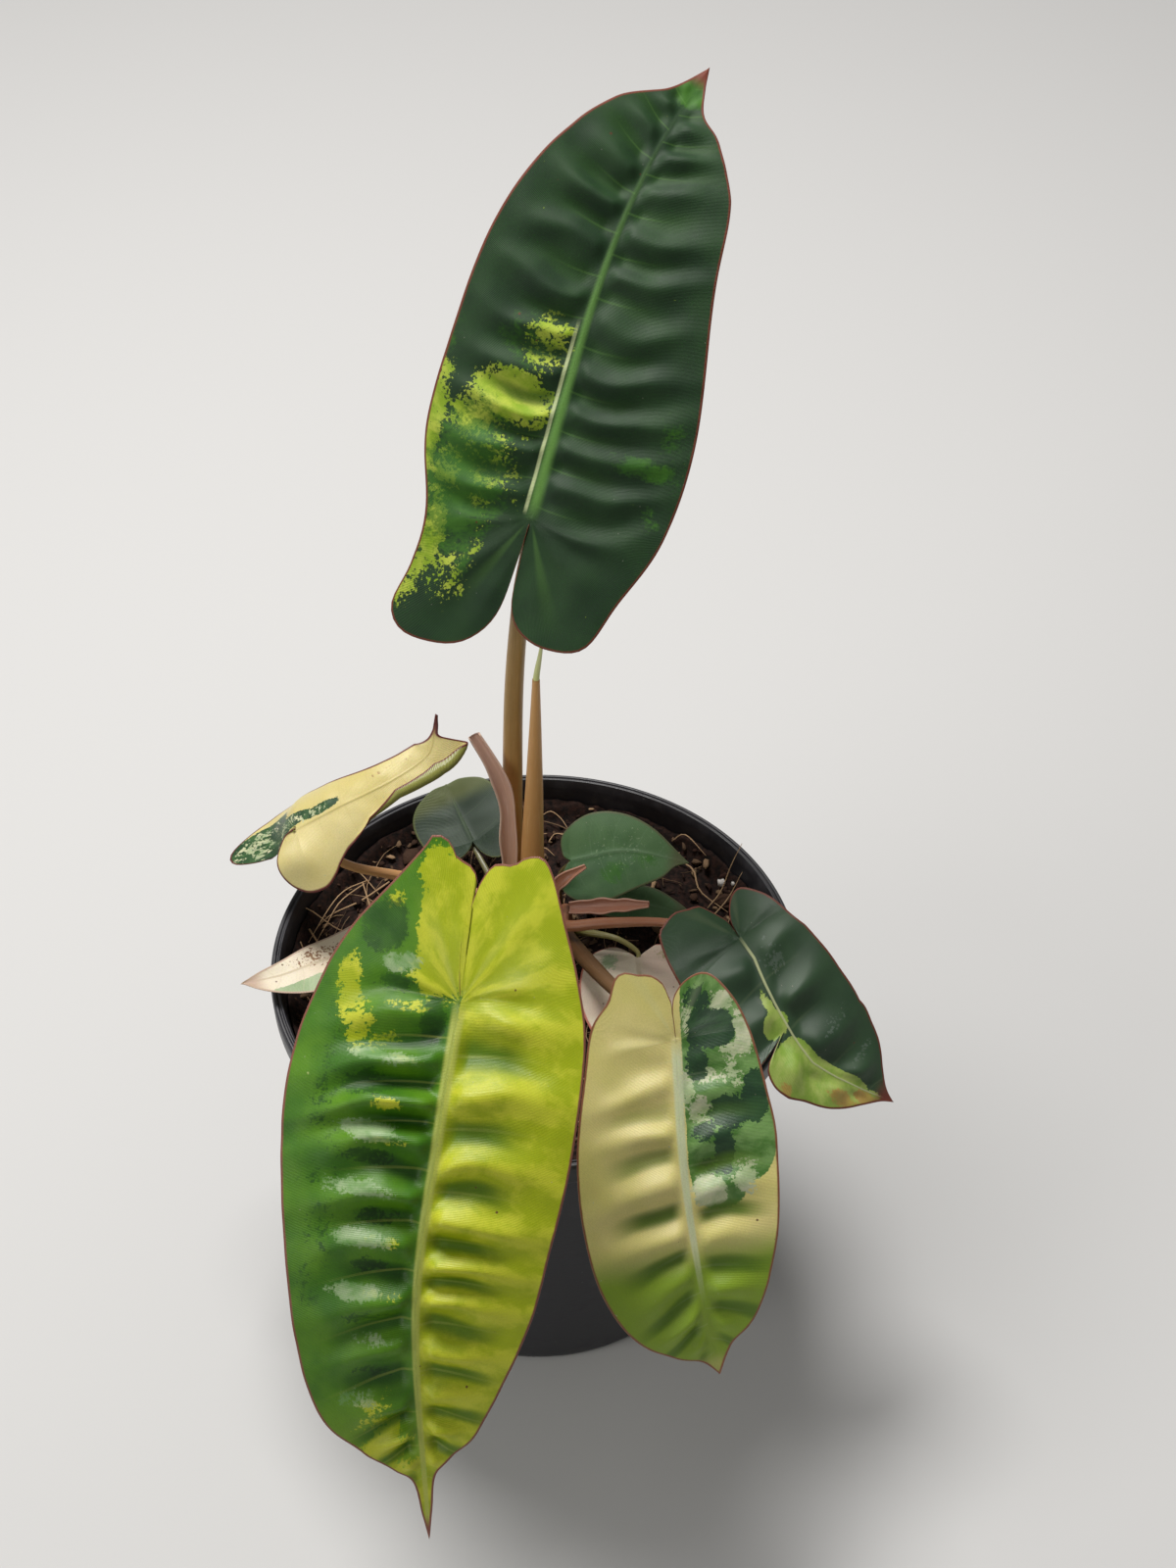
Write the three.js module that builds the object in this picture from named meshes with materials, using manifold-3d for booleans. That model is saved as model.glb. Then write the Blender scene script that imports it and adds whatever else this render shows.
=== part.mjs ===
// Potted variegated philodendron billietiae. Millimetres, +Z up.
// The origin is the centre of the flat underside of the pot; -Y is the side with the big hanging leaf.
import * as THREE from "three";
import { mergeVertices } from "three/addons/utils/BufferGeometryUtils.js";
import Module from "manifold-3d";

const wasm = await Module();
wasm.setup();

// Pot
const rimRadius = 75;
const potHeight = 120;
const rimBandHeight = 8;
const lipWidth = 2.4;
const wallThickness = 1.3;
const shoulderRadius = 72;
const baseRadius = 54;
const floorThickness = 4;
const centrePadRadius = 20;
const footRingInnerRadius = 44;
const channelDepth = 2.5;
const drainHoles = 8;
const drainHoleRadius = 4.5;
const drainRingRadius = 32;
const potSegments = 56;

// Substrate
const soilLevel = 108.5;
const moundHeight = 1.6;
const moundSpread = 15;
const soilRings = 11;
const soilSegments = 44;
const gap = 0.3;

// Crown of the plant, where every leaf stalk starts
const crown = new THREE.Vector2(-0.5, 25);
const stemRadius = 11;
const stemBottom = 80;
const stemTop = 112;
const rootStart = stemBottom - 2 * gap;

// Leaf tissue
const marginThickness = 0.8;
const midribThickness = 2.2;

const finishes = {
  pot: { color: 0x15161a, roughness: 0.5, metalness: 0 },
  soil: { color: 0x2a1a12, roughness: 1, metalness: 0 },
  root: { color: 0xb49a78, roughness: 0.8, metalness: 0 },
  stem: { color: 0x5a4a2c, roughness: 0.6, metalness: 0 },
  stalk: { color: 0x8a5330, roughness: 0.45, metalness: 0 },
  sheath: { color: 0xa0643c, roughness: 0.5, metalness: 0 },
  darkLeaf: { color: 0x1f3d22, roughness: 0.4, metalness: 0 },
  limeLeaf: { color: 0x9fb32a, roughness: 0.4, metalness: 0 },
  creamLeaf: { color: 0xd9cb86, roughness: 0.45, metalness: 0 },
  oldLeaf: { color: 0xd9c8b4, roughness: 0.6, metalness: 0 },
  youngLeaf: { color: 0xb9d24a, roughness: 0.4, metalness: 0 },
  perlite: { color: 0xe8e6e0, roughness: 0.95, metalness: 0 },
  bark: { color: 0x5c2f1a, roughness: 0.95, metalness: 0 },
  fibre: { color: 0xa9793f, roughness: 0.9, metalness: 0 },
};
const materials = Object.fromEntries(
  Object.entries(finishes).map(([name, look]) => [name, new THREE.MeshStandardMaterial(look)]),
);

const plant = new THREE.Group();

function addMesh(name, geometry, finish) {
  geometry.computeVertexNormals();
  const mesh = new THREE.Mesh(geometry, materials[finish]);
  mesh.name = name;
  plant.add(mesh);
  return mesh;
}

// Joining and cutting solids

function toSolid(geometry) {
  const bare = geometry.clone();
  bare.deleteAttribute("normal");
  bare.deleteAttribute("uv");
  const merged = mergeVertices(bare, 1e-4);
  return new wasm.Manifold(
    new wasm.Mesh({
      numProp: 3,
      vertProperties: new Float32Array(merged.attributes.position.array),
      triVerts: new Uint32Array(merged.index.array),
    }),
  );
}

function toGeometry(solid) {
  const mesh = solid.getMesh();
  const geometry = new THREE.BufferGeometry();
  geometry.setAttribute("position", new THREE.BufferAttribute(new Float32Array(mesh.vertProperties), 3));
  geometry.setIndex(new THREE.BufferAttribute(new Uint32Array(mesh.triVerts), 1));
  return geometry;
}

function standUp(geometry) {
  return geometry.rotateX(Math.PI / 2);
}

// Closed surface from rings of points: the first and the last ring are closed by a fan.
function closedRings(rings) {
  const count = rings[0].length;
  const positions = rings.flat().flatMap((p) => [p.x, p.y, p.z]);
  const index = [];
  for (let r = 0; r < rings.length - 1; r++) {
    for (let k = 0; k < count; k++) {
      const a = r * count + k;
      const b = r * count + ((k + 1) % count);
      index.push(a, b, b + count, a, b + count, a + count);
    }
  }
  const lastRing = (rings.length - 1) * count;
  for (const [ring, first, flip] of [[rings[0], 0, true], [rings.at(-1), lastRing, false]]) {
    const centre = new THREE.Vector3();
    ring.forEach((p) => centre.add(p));
    centre.divideScalar(count);
    const middle = positions.length / 3;
    positions.push(centre.x, centre.y, centre.z);
    for (let k = 0; k < count; k++) {
      const a = first + k;
      const b = first + ((k + 1) % count);
      index.push(...(flip ? [middle, b, a] : [middle, a, b]));
    }
  }
  const geometry = new THREE.BufferGeometry();
  geometry.setAttribute("position", new THREE.Float32BufferAttribute(positions, 3));
  geometry.setIndex(index);
  return geometry;
}

function curveThrough(points) {
  return new THREE.CatmullRomCurve3(points.map((p) => new THREE.Vector3(...p)), false, "catmullrom", 0.5);
}

// Value of an evenly spaced list of radii at t from 0 to 1.
function along(list, t) {
  const x = t * (list.length - 1);
  const i = Math.min(Math.floor(x), list.length - 2);
  return THREE.MathUtils.lerp(list[i], list[i + 1], x - i);
}

// Closed sweep with an oval section. halfAxes gives the two half axes of the section at a step.
function sweep(path, steps, sides, halfAxes) {
  const rings = [];
  for (let s = 0; s <= steps; s++) {
    const centre = path.getPointAt(s / steps);
    const [first, second] = halfAxes(s);
    const ring = [];
    for (let k = 0; k < sides; k++) {
      const angle = (k / sides) * Math.PI * 2;
      const spoke = first.clone().multiplyScalar(Math.cos(angle)).addScaledVector(second, Math.sin(angle));
      ring.push(centre.clone().add(spoke));
    }
    rings.push(ring);
  }
  return closedRings(rings);
}

// Round stalk that follows points, with its radius read along its length.
function stalk(points, radii, sides = 8, steps = 14) {
  const path = curveThrough(points);
  const frames = path.computeFrenetFrames(steps);
  return sweep(path, steps, sides, (s) => {
    const radius = along(radii, s / steps);
    return [frames.normals[s], frames.binormals[s]].map((axis) => axis.clone().multiplyScalar(radius));
  });
}

// Directions at t along a path: its tangent, the side that looks up and the direction across both.
function framesAlong(path, facing) {
  const [base, tip] = facing.map((v) => new THREE.Vector3(...v).normalize());
  return (t) => {
    const tangent = path.getTangentAt(t);
    const normal = base.clone().lerp(tip, t);
    normal.addScaledVector(tangent, -normal.dot(tangent)).normalize();
    return { tangent, normal, across: tangent.clone().cross(normal) };
  };
}

// Flat strap that follows points. facing: where its wide side looks at both ends.
function strap({ points, facing, widths, thickness }, sides = 8, steps = 12) {
  const path = curveThrough(points);
  const frameAt = framesAlong(path, facing);
  return sweep(path, steps, sides, (s) => {
    const { normal, across } = frameAt(s / steps);
    return [normal.multiplyScalar(thickness / 2), across.multiplyScalar(along(widths, s / steps) / 2)];
  });
}

// Leaf blade. rib: the midrib from the stalk to the tip. facing: where the upper side looks at both ends.
// left and right: the margin of each half as [along the midrib, out from it], from the notch to the tip.
// fold: rise of each half away from the midrib; cup: how much the margins roll down again.
function blade({ rib, facing, left, right, fold = 0.1, cup = -0.004, rows = 16, columns = 3 }) {
  const path = curveThrough(rib);
  const length = path.getLength();
  const frameAt = framesAlong(path, facing);

  const place = (u, v) => {
    const t = THREE.MathUtils.clamp(u / length, 0, 1);
    const { tangent, normal, across } = frameAt(t);
    const point = path
      .getPointAt(t)
      .addScaledVector(tangent, Math.min(u, 0))
      .addScaledVector(across, v)
      .addScaledVector(normal, fold * Math.abs(v) + cup * v * v);
    return { point, normal };
  };

  const outlines = [left, right].map((margin) => {
    const between = margin.map((p) => [...p, 0]);
    return curveThrough([[0, 0, 0], ...between, [length, 0, 0]]);
  });
  const positions = [];
  const index = [];
  const grid = [];
  const addPair = (u, v, share) => {
    const { point, normal } = place(u, v);
    const rib = (1 - share) ** 3 * (1 - 0.6 * THREE.MathUtils.clamp(u / length, 0, 1));
    const half = THREE.MathUtils.lerp(marginThickness, midribThickness, rib) / 2;
    for (const side of [half, -half]) {
      const p = point.clone().addScaledVector(normal, side);
      positions.push(p.x, p.y, p.z);
    }
    return positions.length / 3 - 2;
  };

  const notch = addPair(0, 0, 0);
  for (let r = 1; r < rows; r++) {
    const t = r / rows;
    const start = length * t ** 2;
    const row = [];
    for (let c = -columns; c <= columns; c++) {
      const share = Math.abs(c) / columns;
      const edge = outlines[c < 0 ? 0 : 1].getPoint(t);
      const u = THREE.MathUtils.lerp(start, edge.x, share);
      const v = edge.y * share * Math.sign(c);
      row.push(addPair(u, v, share));
    }
    grid.push(row);
  }
  const tip = addPair(length, 0, 0);

  const face = (a, b, c) => index.push(a, b, c, a + 1, c + 1, b + 1);
  const rim = (a, b) => index.push(a, a + 1, b + 1, a, b + 1, b);
  const width = columns * 2;
  for (let c = 0; c < width; c++) {
    face(notch, grid[0][c + 1], grid[0][c]);
    face(tip, grid.at(-1)[c], grid.at(-1)[c + 1]);
  }
  for (let r = 0; r < grid.length - 1; r++) {
    for (let c = 0; c < width; c++) {
      face(grid[r][c], grid[r][c + 1], grid[r + 1][c + 1]);
      face(grid[r][c], grid[r + 1][c + 1], grid[r + 1][c]);
    }
    rim(grid[r + 1][0], grid[r][0]);
    rim(grid[r][width], grid[r + 1][width]);
  }
  rim(grid[0][0], notch);
  rim(notch, grid[0][width]);
  rim(tip, grid.at(-1)[0]);
  rim(grid.at(-1)[width], tip);

  const geometry = new THREE.BufferGeometry();
  geometry.setAttribute("position", new THREE.Float32BufferAttribute(positions, 3));
  geometry.setIndex(index);
  return geometry;
}

// Pot: a thin tapered shell with a turned-out rim band, a foot ring and drain holes.
function pot() {
  const bandBottom = potHeight - rimBandHeight;
  const profile = [
    [0, 0],
    [centrePadRadius, 0],
    [centrePadRadius + 2, channelDepth],
    [footRingInnerRadius - 2, channelDepth],
    [footRingInnerRadius, 0],
    [baseRadius - 1, 0],
    [baseRadius, 1.5],
    [shoulderRadius, bandBottom],
    [rimRadius - 0.8, bandBottom],
    [rimRadius, bandBottom + 1],
    [rimRadius, potHeight - 1.2],
    [rimRadius - 0.8, potHeight],
    [rimRadius - lipWidth, potHeight],
    [rimRadius - lipWidth - 0.6, potHeight - 1],
    [shoulderRadius - wallThickness, bandBottom - 1],
    [baseRadius - wallThickness, floorThickness],
    [0, floorThickness],
  ].map((p) => new THREE.Vector2(...p));
  let shell = toSolid(standUp(new THREE.LatheGeometry(profile, potSegments)));
  for (let i = 0; i < drainHoles; i++) {
    const angle = (i / drainHoles) * Math.PI * 2;
    const cutLength = floorThickness * 3;
    const hole = standUp(new THREE.CylinderGeometry(drainHoleRadius, drainHoleRadius, cutLength, 16));
    hole.translate(Math.cos(angle) * drainRingRadius, Math.sin(angle) * drainRingRadius, 0);
    shell = shell.subtract(toSolid(hole));
  }
  addMesh("pot", toGeometry(shell), "pot");
}

function soilHeight(x, y) {
  const distance = Math.hypot(x - crown.x, y - crown.y);
  const mound = moundHeight * Math.exp(-((distance / moundSpread) ** 2));
  return soilLevel + mound + 0.7 * Math.sin(x / 8 + 1) * Math.cos(y / 9) + 0.4 * Math.sin(x / 5 - y / 6);
}

const rootPaths = [
  [[6, 27, rootStart], [6.6, 27, 72], [28, 30, 47], [44, 12, 24], [30, -28, 12]],
  [[-7, 28, rootStart], [-7.6, 28.4, 71], [-32, 34, 50], [-46, 6, 30], [-36, -22, 14]],
  [[2, 31, rootStart], [2.2, 32, 70], [10, 48, 48], [2, 42, 26], [-12, 22, 10]],
  [[-2, 18, rootStart], [-2, 17, 72], [6, -18, 54], [16, -42, 38], [-6, -42, 18]],
  [[4, 20, rootStart], [4.6, 19.6, 71], [38, -4, 50], [48, -22, 34], [34, -4, 16]],
];
const rootRadii = [1.8, 1.6, 1.3, 0.7];
const rootClearance = 0.5;

function stem(swell = 0) {
  return stalk(
    [[crown.x, crown.y - 1, stemBottom - swell], [crown.x, crown.y, 95], [crown.x, crown.y, stemTop]],
    [stemRadius - 3, stemRadius - 1, stemRadius].map((r) => r + swell),
    16,
    5,
  );
}

// Thick root. With a swell it is the hollow that the root lies in, longer at both ends.
function root(path, swell = 0) {
  const start = new THREE.Vector3(...path[0]);
  const end = new THREE.Vector3(...path.at(-1));
  const heading = end.clone().sub(new THREE.Vector3(...path.at(-2))).normalize();
  start.z += swell;
  end.addScaledVector(heading, swell);
  const centreLine = [start.toArray(), ...path.slice(1, -1), end.toArray()];
  return stalk(centreLine, rootRadii.map((r) => r + swell), 7, 12);
}

// Substrate: fills the pot up to the uneven surface, with room for the stem and the thick roots.
function soil() {
  const innerRadius = (z) =>
    THREE.MathUtils.mapLinear(
      z,
      floorThickness,
      potHeight - rimBandHeight - 1,
      baseRadius - wallThickness,
      shoulderRadius - wallThickness,
    ) - gap;
  const ringAt = (radius, heightAt) => {
    const ring = [];
    for (let k = 0; k < soilSegments; k++) {
      const angle = (k / soilSegments) * Math.PI * 2;
      const x = Math.cos(angle) * radius;
      const y = Math.sin(angle) * radius;
      ring.push(new THREE.Vector3(x, y, heightAt(x, y)));
    }
    return ring;
  };
  const bottom = floorThickness + gap;
  const rings = [ringAt(innerRadius(bottom) - gap, () => bottom)];
  const topRadius = innerRadius(soilLevel) - gap;
  for (let r = soilRings; r > 0; r--) {
    rings.push(ringAt((topRadius * r) / soilRings, soilHeight));
  }
  let body = toSolid(closedRings(rings)).subtract(toSolid(stem(gap * 1.5)));
  for (const path of rootPaths) {
    body = body.subtract(toSolid(root(path, rootClearance)));
  }
  addMesh("substrate", toGeometry(body), "soil");
}

// Leaves, numbered by what they look like. Each stalk starts on top of the stem.
const stalks = {
  top_leaf: {
    points: [
      [-2.2, 34, 113.6], [-4.6, 33.8, 121], [-6.7, 34, 130], [-6.4, 35, 160], [-5.4, 36.5, 192],
      [-3, 38.6, 222], [0.1, 42.6, 245.2],
    ],
    radii: [3.1, 3, 2.8, 2.6],
  },
  front_leaf: {
    points: [
      [-1.5, 18.2, 113.6], [-1.6, 17.2, 118.4], [-6, -8, 142], [-12, -44, 168],
      [-16.9, -71.6, 182.8],
    ],
    radii: [3, 2.9, 2.7, 2.5],
  },
  cream_leaf: {
    points: [
      [6.2, 18.6, 113.6], [6.5, 17, 116.4], [10.2, 7.4, 118.4], [21.6, -22.5, 133.5],
      [38, -53.5, 147],
    ],
    radii: [2.4, 2.4, 2.3, 2.1],
  },
  dark_leaf: {
    points: [
      [8.2, 23.5, 113.6], [8.4, 20.4, 118.6], [8.6, 9, 124], [20.4, 5.4, 129], [37.3, -2, 137],
      [55.5, -11.2, 141.4],
    ],
    radii: [1.7, 1.7, 1.6, 1.4],
  },
  twisted_leaf: {
    points: [
      [-9.6, 22.6, 113.6], [-12, 23, 117.6], [-25, 27, 122], [-40, 23, 130], [-54, 17.6, 140.5],
      [-65.4, 20.8, 148.8],
    ],
    radii: [1.8, 1.7, 1.6, 1.4],
  },
  heart_leaf: {
    points: [[6.3, 29.5, 113.6], [6.2, 29.6, 118], [7.2, 29.2, 124], [10, 29.4, 128.6]],
    radii: [1.3, 1.2, 1.1],
  },
  round_leaf: {
    points: [[-10.4, 27.8, 113.6], [-11.2, 28.8, 117], [-14, 33, 119.6], [-19, 43.4, 121.6]],
    radii: [1.1, 1, 0.9],
  },
  withered_leaf: {
    points: [[-7.5, 17.8, 113.6], [-9.4, 16.4, 116], [-25, 12, 114.4], [-36.5, 11.6, 113.2]],
    radii: [1.2, 1.1, 1],
  },
  pale_leaf: {
    points: [
      [10.3, 19.6, 113.6], [12.4, 13.6, 116.2], [17, 10.4, 119], [23.5, 7.4, 120],
      [28.9, 4.2, 118.2],
    ],
    radii: [1.2, 1.2, 1.1, 0.9],
  },
};

const blades = {
  top_leaf: {
    finish: "darkLeaf",
    rib: [[0, 40, 248], [17, 77, 293], [31, 102, 316], [47, 128, 329]],
    facing: [[-0.05, -0.72, 0.69], [0.05, -0.66, 0.75]],
    fold: 0.15,
    left: [
      [-12, 0.6], [-27, 3], [-37, 12], [-38, 24], [-32, 29], [-20, 27], [-6, 27], [16, 33],
      [43, 33], [70, 31], [92, 25], [109, 16], [119, 6],
    ],
    right: [
      [-12, 0.6], [-25, 5], [-31, 14], [-29, 23], [-16, 28], [4, 35], [32, 36], [72, 29], [96, 24],
      [111, 14], [117, 6], [124, 2.4],
    ],
    rows: 22,
    columns: 4,
  },
  front_leaf: {
    finish: "limeLeaf",
    rib: [[-17, -74, 186], [-22, -100, 167], [-28, -129, 130], [-26, -155, 69]],
    facing: [[-0.02, -0.55, 0.83], [0, -0.85, 0.5]],
    fold: 0.12,
    cup: -0.005,
    left: [
      [-12, 0.6], [-34, 3], [-37, 11], [-30, 20], [-4, 31], [14, 34], [56, 32], [83, 28],
      [112, 16], [125, 5], [136, 2],
    ],
    right: [
      [-12, 0.8], [-34, 4], [-40, 12], [-28, 20], [-8, 32], [15, 39], [38, 39], [70, 33],
      [105, 26], [121, 13], [129, 4.5], [139, 1.8],
    ],
    rows: 22,
    columns: 4,
  },
  cream_leaf: {
    finish: "creamLeaf",
    rib: [[38, -56, 150], [40, -82, 128], [45, -102, 102], [50, -111, 78]],
    facing: [[0, -0.55, 0.83], [0.05, -0.8, 0.6]],
    fold: 0.12,
    cup: -0.006,
    left: [[-6, 0.8], [-14, 3], [-17, 9], [-10, 16], [1, 21], [28, 25], [53, 22], [75, 14], [84, 5]],
    right: [
      [-6, 0.8], [-15, 4], [-18, 11], [-4, 22], [20, 26], [44, 28], [63, 26], [76, 20], [84, 11],
      [88, 4],
    ],
  },
  dark_leaf: {
    finish: "darkLeaf",
    rib: [
      [56.8, -13.7, 143.3], [66.6, -24.9, 135.3], [78, -33.5, 125.2], [89.1, -37.6, 115.1],
      [99.7, -39.9, 105.1],
    ],
    facing: [[0.1, -0.45, 0.88], [0.3, -0.5, 0.8]],
    left: [
      [-5.6, 0.8], [-11.4, 5.7], [-7.6, 12.1], [10, 17.9], [24, 18.6], [39.9, 16.1], [51.3, 10.5],
      [60.6, 1.8],
    ],
    right: [
      [-5.6, 0.8], [-11.6, 3.4], [-15, 11], [-13.4, 18.6], [1.2, 22], [19.7, 22], [32, 20.3],
      [41.5, 17.4], [51.8, 11.8], [61.1, 2],
    ],
  },
  twisted_leaf: {
    finish: "creamLeaf",
    rib: [[-67, 20, 152], [-53, 22, 160], [-40, 25, 166], [-30, 31, 170], [-28, 38, 180]],
    facing: [[-0.1, -0.3, 0.95], [0.1, -0.5, 0.8]],
    fold: 0.05,
    cup: -0.02,
    left: [[-6, 1.2], [-16, 4], [-23, 9], [-18, 15], [-4, 18], [14, 16], [30, 11], [44, 5]],
    right: [[-4, 1.6], [-7, 8], [-6, 16], [0, 22], [8, 19], [19, 13], [31, 10], [42, 9], [48, 6]],
  },
  heart_leaf: {
    finish: "darkLeaf",
    rib: [[10, 28, 131], [26, 30, 133], [44, 29, 129]],
    facing: [[0, -0.45, 0.9], [0.1, -0.45, 0.9]],
    fold: 0.15,
    cup: -0.01,
    left: [[-2, 2], [-1, 8], [6, 12], [13, 12], [22, 8], [30, 3]],
    right: [[-2, 2], [-4, 8], [1, 13], [8, 14], [18, 12], [27, 7], [31, 2]],
    rows: 12,
  },
  round_leaf: {
    finish: "darkLeaf",
    rib: [[-19, 42.6, 124], [-23, 50.5, 127.5], [-27, 58, 132]],
    facing: [[0, -0.6, 0.8], [0, -0.6, 0.8]],
    cup: -0.008,
    left: [[-2, 2], [-3, 7], [3, 13], [11, 14], [16, 11], [19, 5]],
    right: [[-5, 1.4], [-8, 5], [-6, 10], [1, 13], [9, 14], [16, 11], [19, 5]],
    rows: 12,
  },
  withered_leaf: {
    finish: "oldLeaf",
    rib: [[-40, 11, 116.5], [-57, -1, 122], [-71, -10, 124.4], [-82, -13, 124]],
    facing: [[-0.1, -0.2, 1], [-0.1, -0.2, 1]],
    left: [[-3, 2], [-4, 8], [6, 12], [20, 12], [34, 9], [44, 4]],
    right: [[-3, 2], [-4, 6], [6, 9], [20, 7], [34, 5], [44, 2.4]],
    rows: 12,
  },
  pale_leaf: {
    finish: "oldLeaf",
    rib: [[29, 2, 118], [30, -15, 119], [31, -27, 117], [33, -42, 114]],
    facing: [[0, -0.2, 1], [0, -0.2, 1]],
    fold: -0.1,
    left: [[-2, 2], [-6, 6], [-4, 11], [6, 13], [18, 13], [30, 9], [40, 4]],
    right: [[-2, 2], [-6, 7], [-3, 14], [8, 17], [20, 16], [30, 12], [40, 5]],
    rows: 12,
  },
};

// Small scale leaf without a stalk, low on the right of the crown.
const scaleLeaf = {
  rib: [[12, 27, 114.6], [29, 25, 116.4], [46, 22, 113.6]],
  facing: [[0, -0.3, 1], [0, -0.3, 1]],
  left: [[2, 2.6], [10, 5], [20, 5.6], [29, 3]],
  right: [[2, 2.6], [10, 5], [20, 5.6], [29, 3]],
  rows: 8,
  columns: 2,
};

// Dried sheaths that once wrapped the stalks: open straps.
const sheaths = {
  old_sheath: {
    points: [
      [-7.4, 29.3, 113.8], [-7.2, 28.6, 135], [-7.6, 29.8, 154], [-10.4, 31.6, 163.7],
      [-16.6, 35.6, 174],
    ],
    facing: [[-0.3, -0.9, 0.1], [-0.5, -0.7, 0.5]],
    widths: [3.4, 3.8, 4.2, 4.4, 3.2],
    thickness: 1.2,
  },
  dark_leaf_sheath: {
    points: [[9.6, 13.6, 126.4], [20, 10.6, 130.4], [32, 6, 136]],
    facing: [[0, -0.6, 0.8], [0, -0.6, 0.8]],
    widths: [2, 3.2, 1.6],
    thickness: 0.9,
  },
  heart_leaf_sheath: {
    points: [[4.6, 22.8, 118], [4.6, 20.6, 126], [8.4, 20.2, 131.8], [14.2, 21.6, 135.2]],
    facing: [[0.2, -0.8, 0.5], [0, -0.6, 0.8]],
    widths: [2.2, 3.2, 2.6, 0.8],
    thickness: 0.9,
  },
};

function leaves() {
  for (const [name, { points, radii }] of Object.entries(stalks)) {
    addMesh(`${name}_stalk`, stalk(points, radii), "stalk");
  }
  for (const [name, { finish, ...shape }] of Object.entries(blades)) {
    addMesh(`${name}_blade`, blade(shape), finish);
  }
  for (const [name, shape] of Object.entries(sheaths)) {
    addMesh(name, strap(shape), "sheath");
  }
  addMesh("scale_leaf", blade(scaleLeaf), "darkLeaf");
  addMesh(
    "new_leaf_sheath",
    stalk(
      [[0, 26.2, 113.6], [-1.1, 26, 132], [-0.2, 27, 163], [0.4, 28, 184.5], [0.8, 29, 200]],
      [3.4, 3.4, 2.7, 1.9, 1.1],
    ),
    "sheath",
  );
  addMesh(
    "new_leaf_point",
    stalk([[0.82, 29.05, 200.5], [2, 30, 208.8], [3.1, 31, 216.3]], [0.9, 0.8, 0.5, 0.15], 7, 6),
    "youngLeaf",
  );
}

// Loose pieces on the substrate. Each one is lowered until it lies just above the surface.
function layOnSoil(geometry, x, y) {
  geometry.translate(x, y, 0);
  const position = geometry.getAttribute("position");
  let lift = -Infinity;
  for (let i = 0; i < position.count; i++) {
    lift = Math.max(lift, soilHeight(position.getX(i), position.getY(i)) - position.getZ(i));
  }
  return geometry.translate(0, 0, lift + gap * 2);
}

const barkChips = [
  { x: 56, y: 34, size: [4.5, 2.6, 1.2], turn: 0.4 },
  { x: 34, y: 56, size: [3.6, 2.2, 1.4], turn: 1.9 },
  { x: 22, y: 58, size: [5, 2.4, 1.1], turn: 2.6 },
  { x: -38, y: 50, size: [4.2, 3, 1.3], turn: 1.1 },
  { x: -40, y: -34, size: [5.2, 2.8, 1.4], turn: 0.2 },
  { x: 8, y: -52, size: [4.8, 3.2, 1.2], turn: 2.2 },
];
const fibres = [
  { route: [[-66, 18], [-60, 10], [-52, 4], [-47, -6]], radius: 0.4 },
  { route: [[-44, 40], [-52, 32], [-60, 26], [-64, 20]], radius: 0.4 },
  { route: [[40, 50], [46, 44], [48, 36], [56, 28]], radius: 0.35 },
  { route: [[10, 60], [16, 54], [26, 50], [32, 42]], radius: 0.35 },
];

function surfacePieces() {
  barkChips.forEach(({ x, y, size, turn }, i) => {
    const chip = new THREE.DodecahedronGeometry(1).scale(...size).rotateZ(turn);
    addMesh(`bark_chip_${i + 1}`, layOnSoil(chip, x, y), "bark");
  });
  addMesh("perlite_crumb", layOnSoil(new THREE.IcosahedronGeometry(1.3), 54.3, 39), "perlite");
  fibres.forEach(({ route, radius }, i) => {
    const points = route.map(([x, y]) => [x, y, soilHeight(x, y) + radius + gap * 3]);
    addMesh(`coir_fibre_${i + 1}`, stalk(points, [radius, radius], 5, 9), "fibre");
  });
}

pot();
soil();
addMesh("stem", stem(), "stem");
rootPaths.forEach((path, i) => addMesh(`root_${i + 1}`, root(path), "root"));
leaves();
surfacePieces();

export default plant;
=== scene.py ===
import math
import random

import bpy
import numpy as np
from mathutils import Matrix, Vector, noise


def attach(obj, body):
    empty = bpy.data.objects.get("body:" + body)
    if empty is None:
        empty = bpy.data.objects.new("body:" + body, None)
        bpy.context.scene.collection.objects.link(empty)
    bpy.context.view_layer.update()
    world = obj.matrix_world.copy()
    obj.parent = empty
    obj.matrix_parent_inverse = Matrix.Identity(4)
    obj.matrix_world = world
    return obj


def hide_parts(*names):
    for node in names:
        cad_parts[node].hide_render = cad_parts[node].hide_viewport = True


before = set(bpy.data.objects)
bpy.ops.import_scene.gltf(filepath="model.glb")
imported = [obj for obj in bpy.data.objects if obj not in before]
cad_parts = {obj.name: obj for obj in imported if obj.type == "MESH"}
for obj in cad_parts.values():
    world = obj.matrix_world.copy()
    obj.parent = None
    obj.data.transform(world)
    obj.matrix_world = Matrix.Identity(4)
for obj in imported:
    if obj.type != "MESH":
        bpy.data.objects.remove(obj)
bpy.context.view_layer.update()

# A young variegated philodendron in a black nursery pot.
# Sizes in the dictionaries are millimetres, and mm turns them into metres; the studio's are metres.
mm = 0.001

# Camera: looks down at the plant from the front, as the photograph does
cameraLook = {"place": (14.9, -537, 719), "pitch": 45.4, "lens": 65}

cameraData = bpy.data.cameras.new("camera")
cameraData.lens = cameraLook["lens"]
cameraData.sensor_width = 36
cameraData.clip_end = 20
camera = bpy.data.objects.new("camera", cameraData)
camera.location = [c * mm for c in cameraLook["place"]]
camera.rotation_euler = (math.radians(cameraLook["pitch"]), 0, 0)
bpy.context.scene.collection.objects.link(camera)
bpy.context.scene.camera = camera


# Curves and small sums

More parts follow.
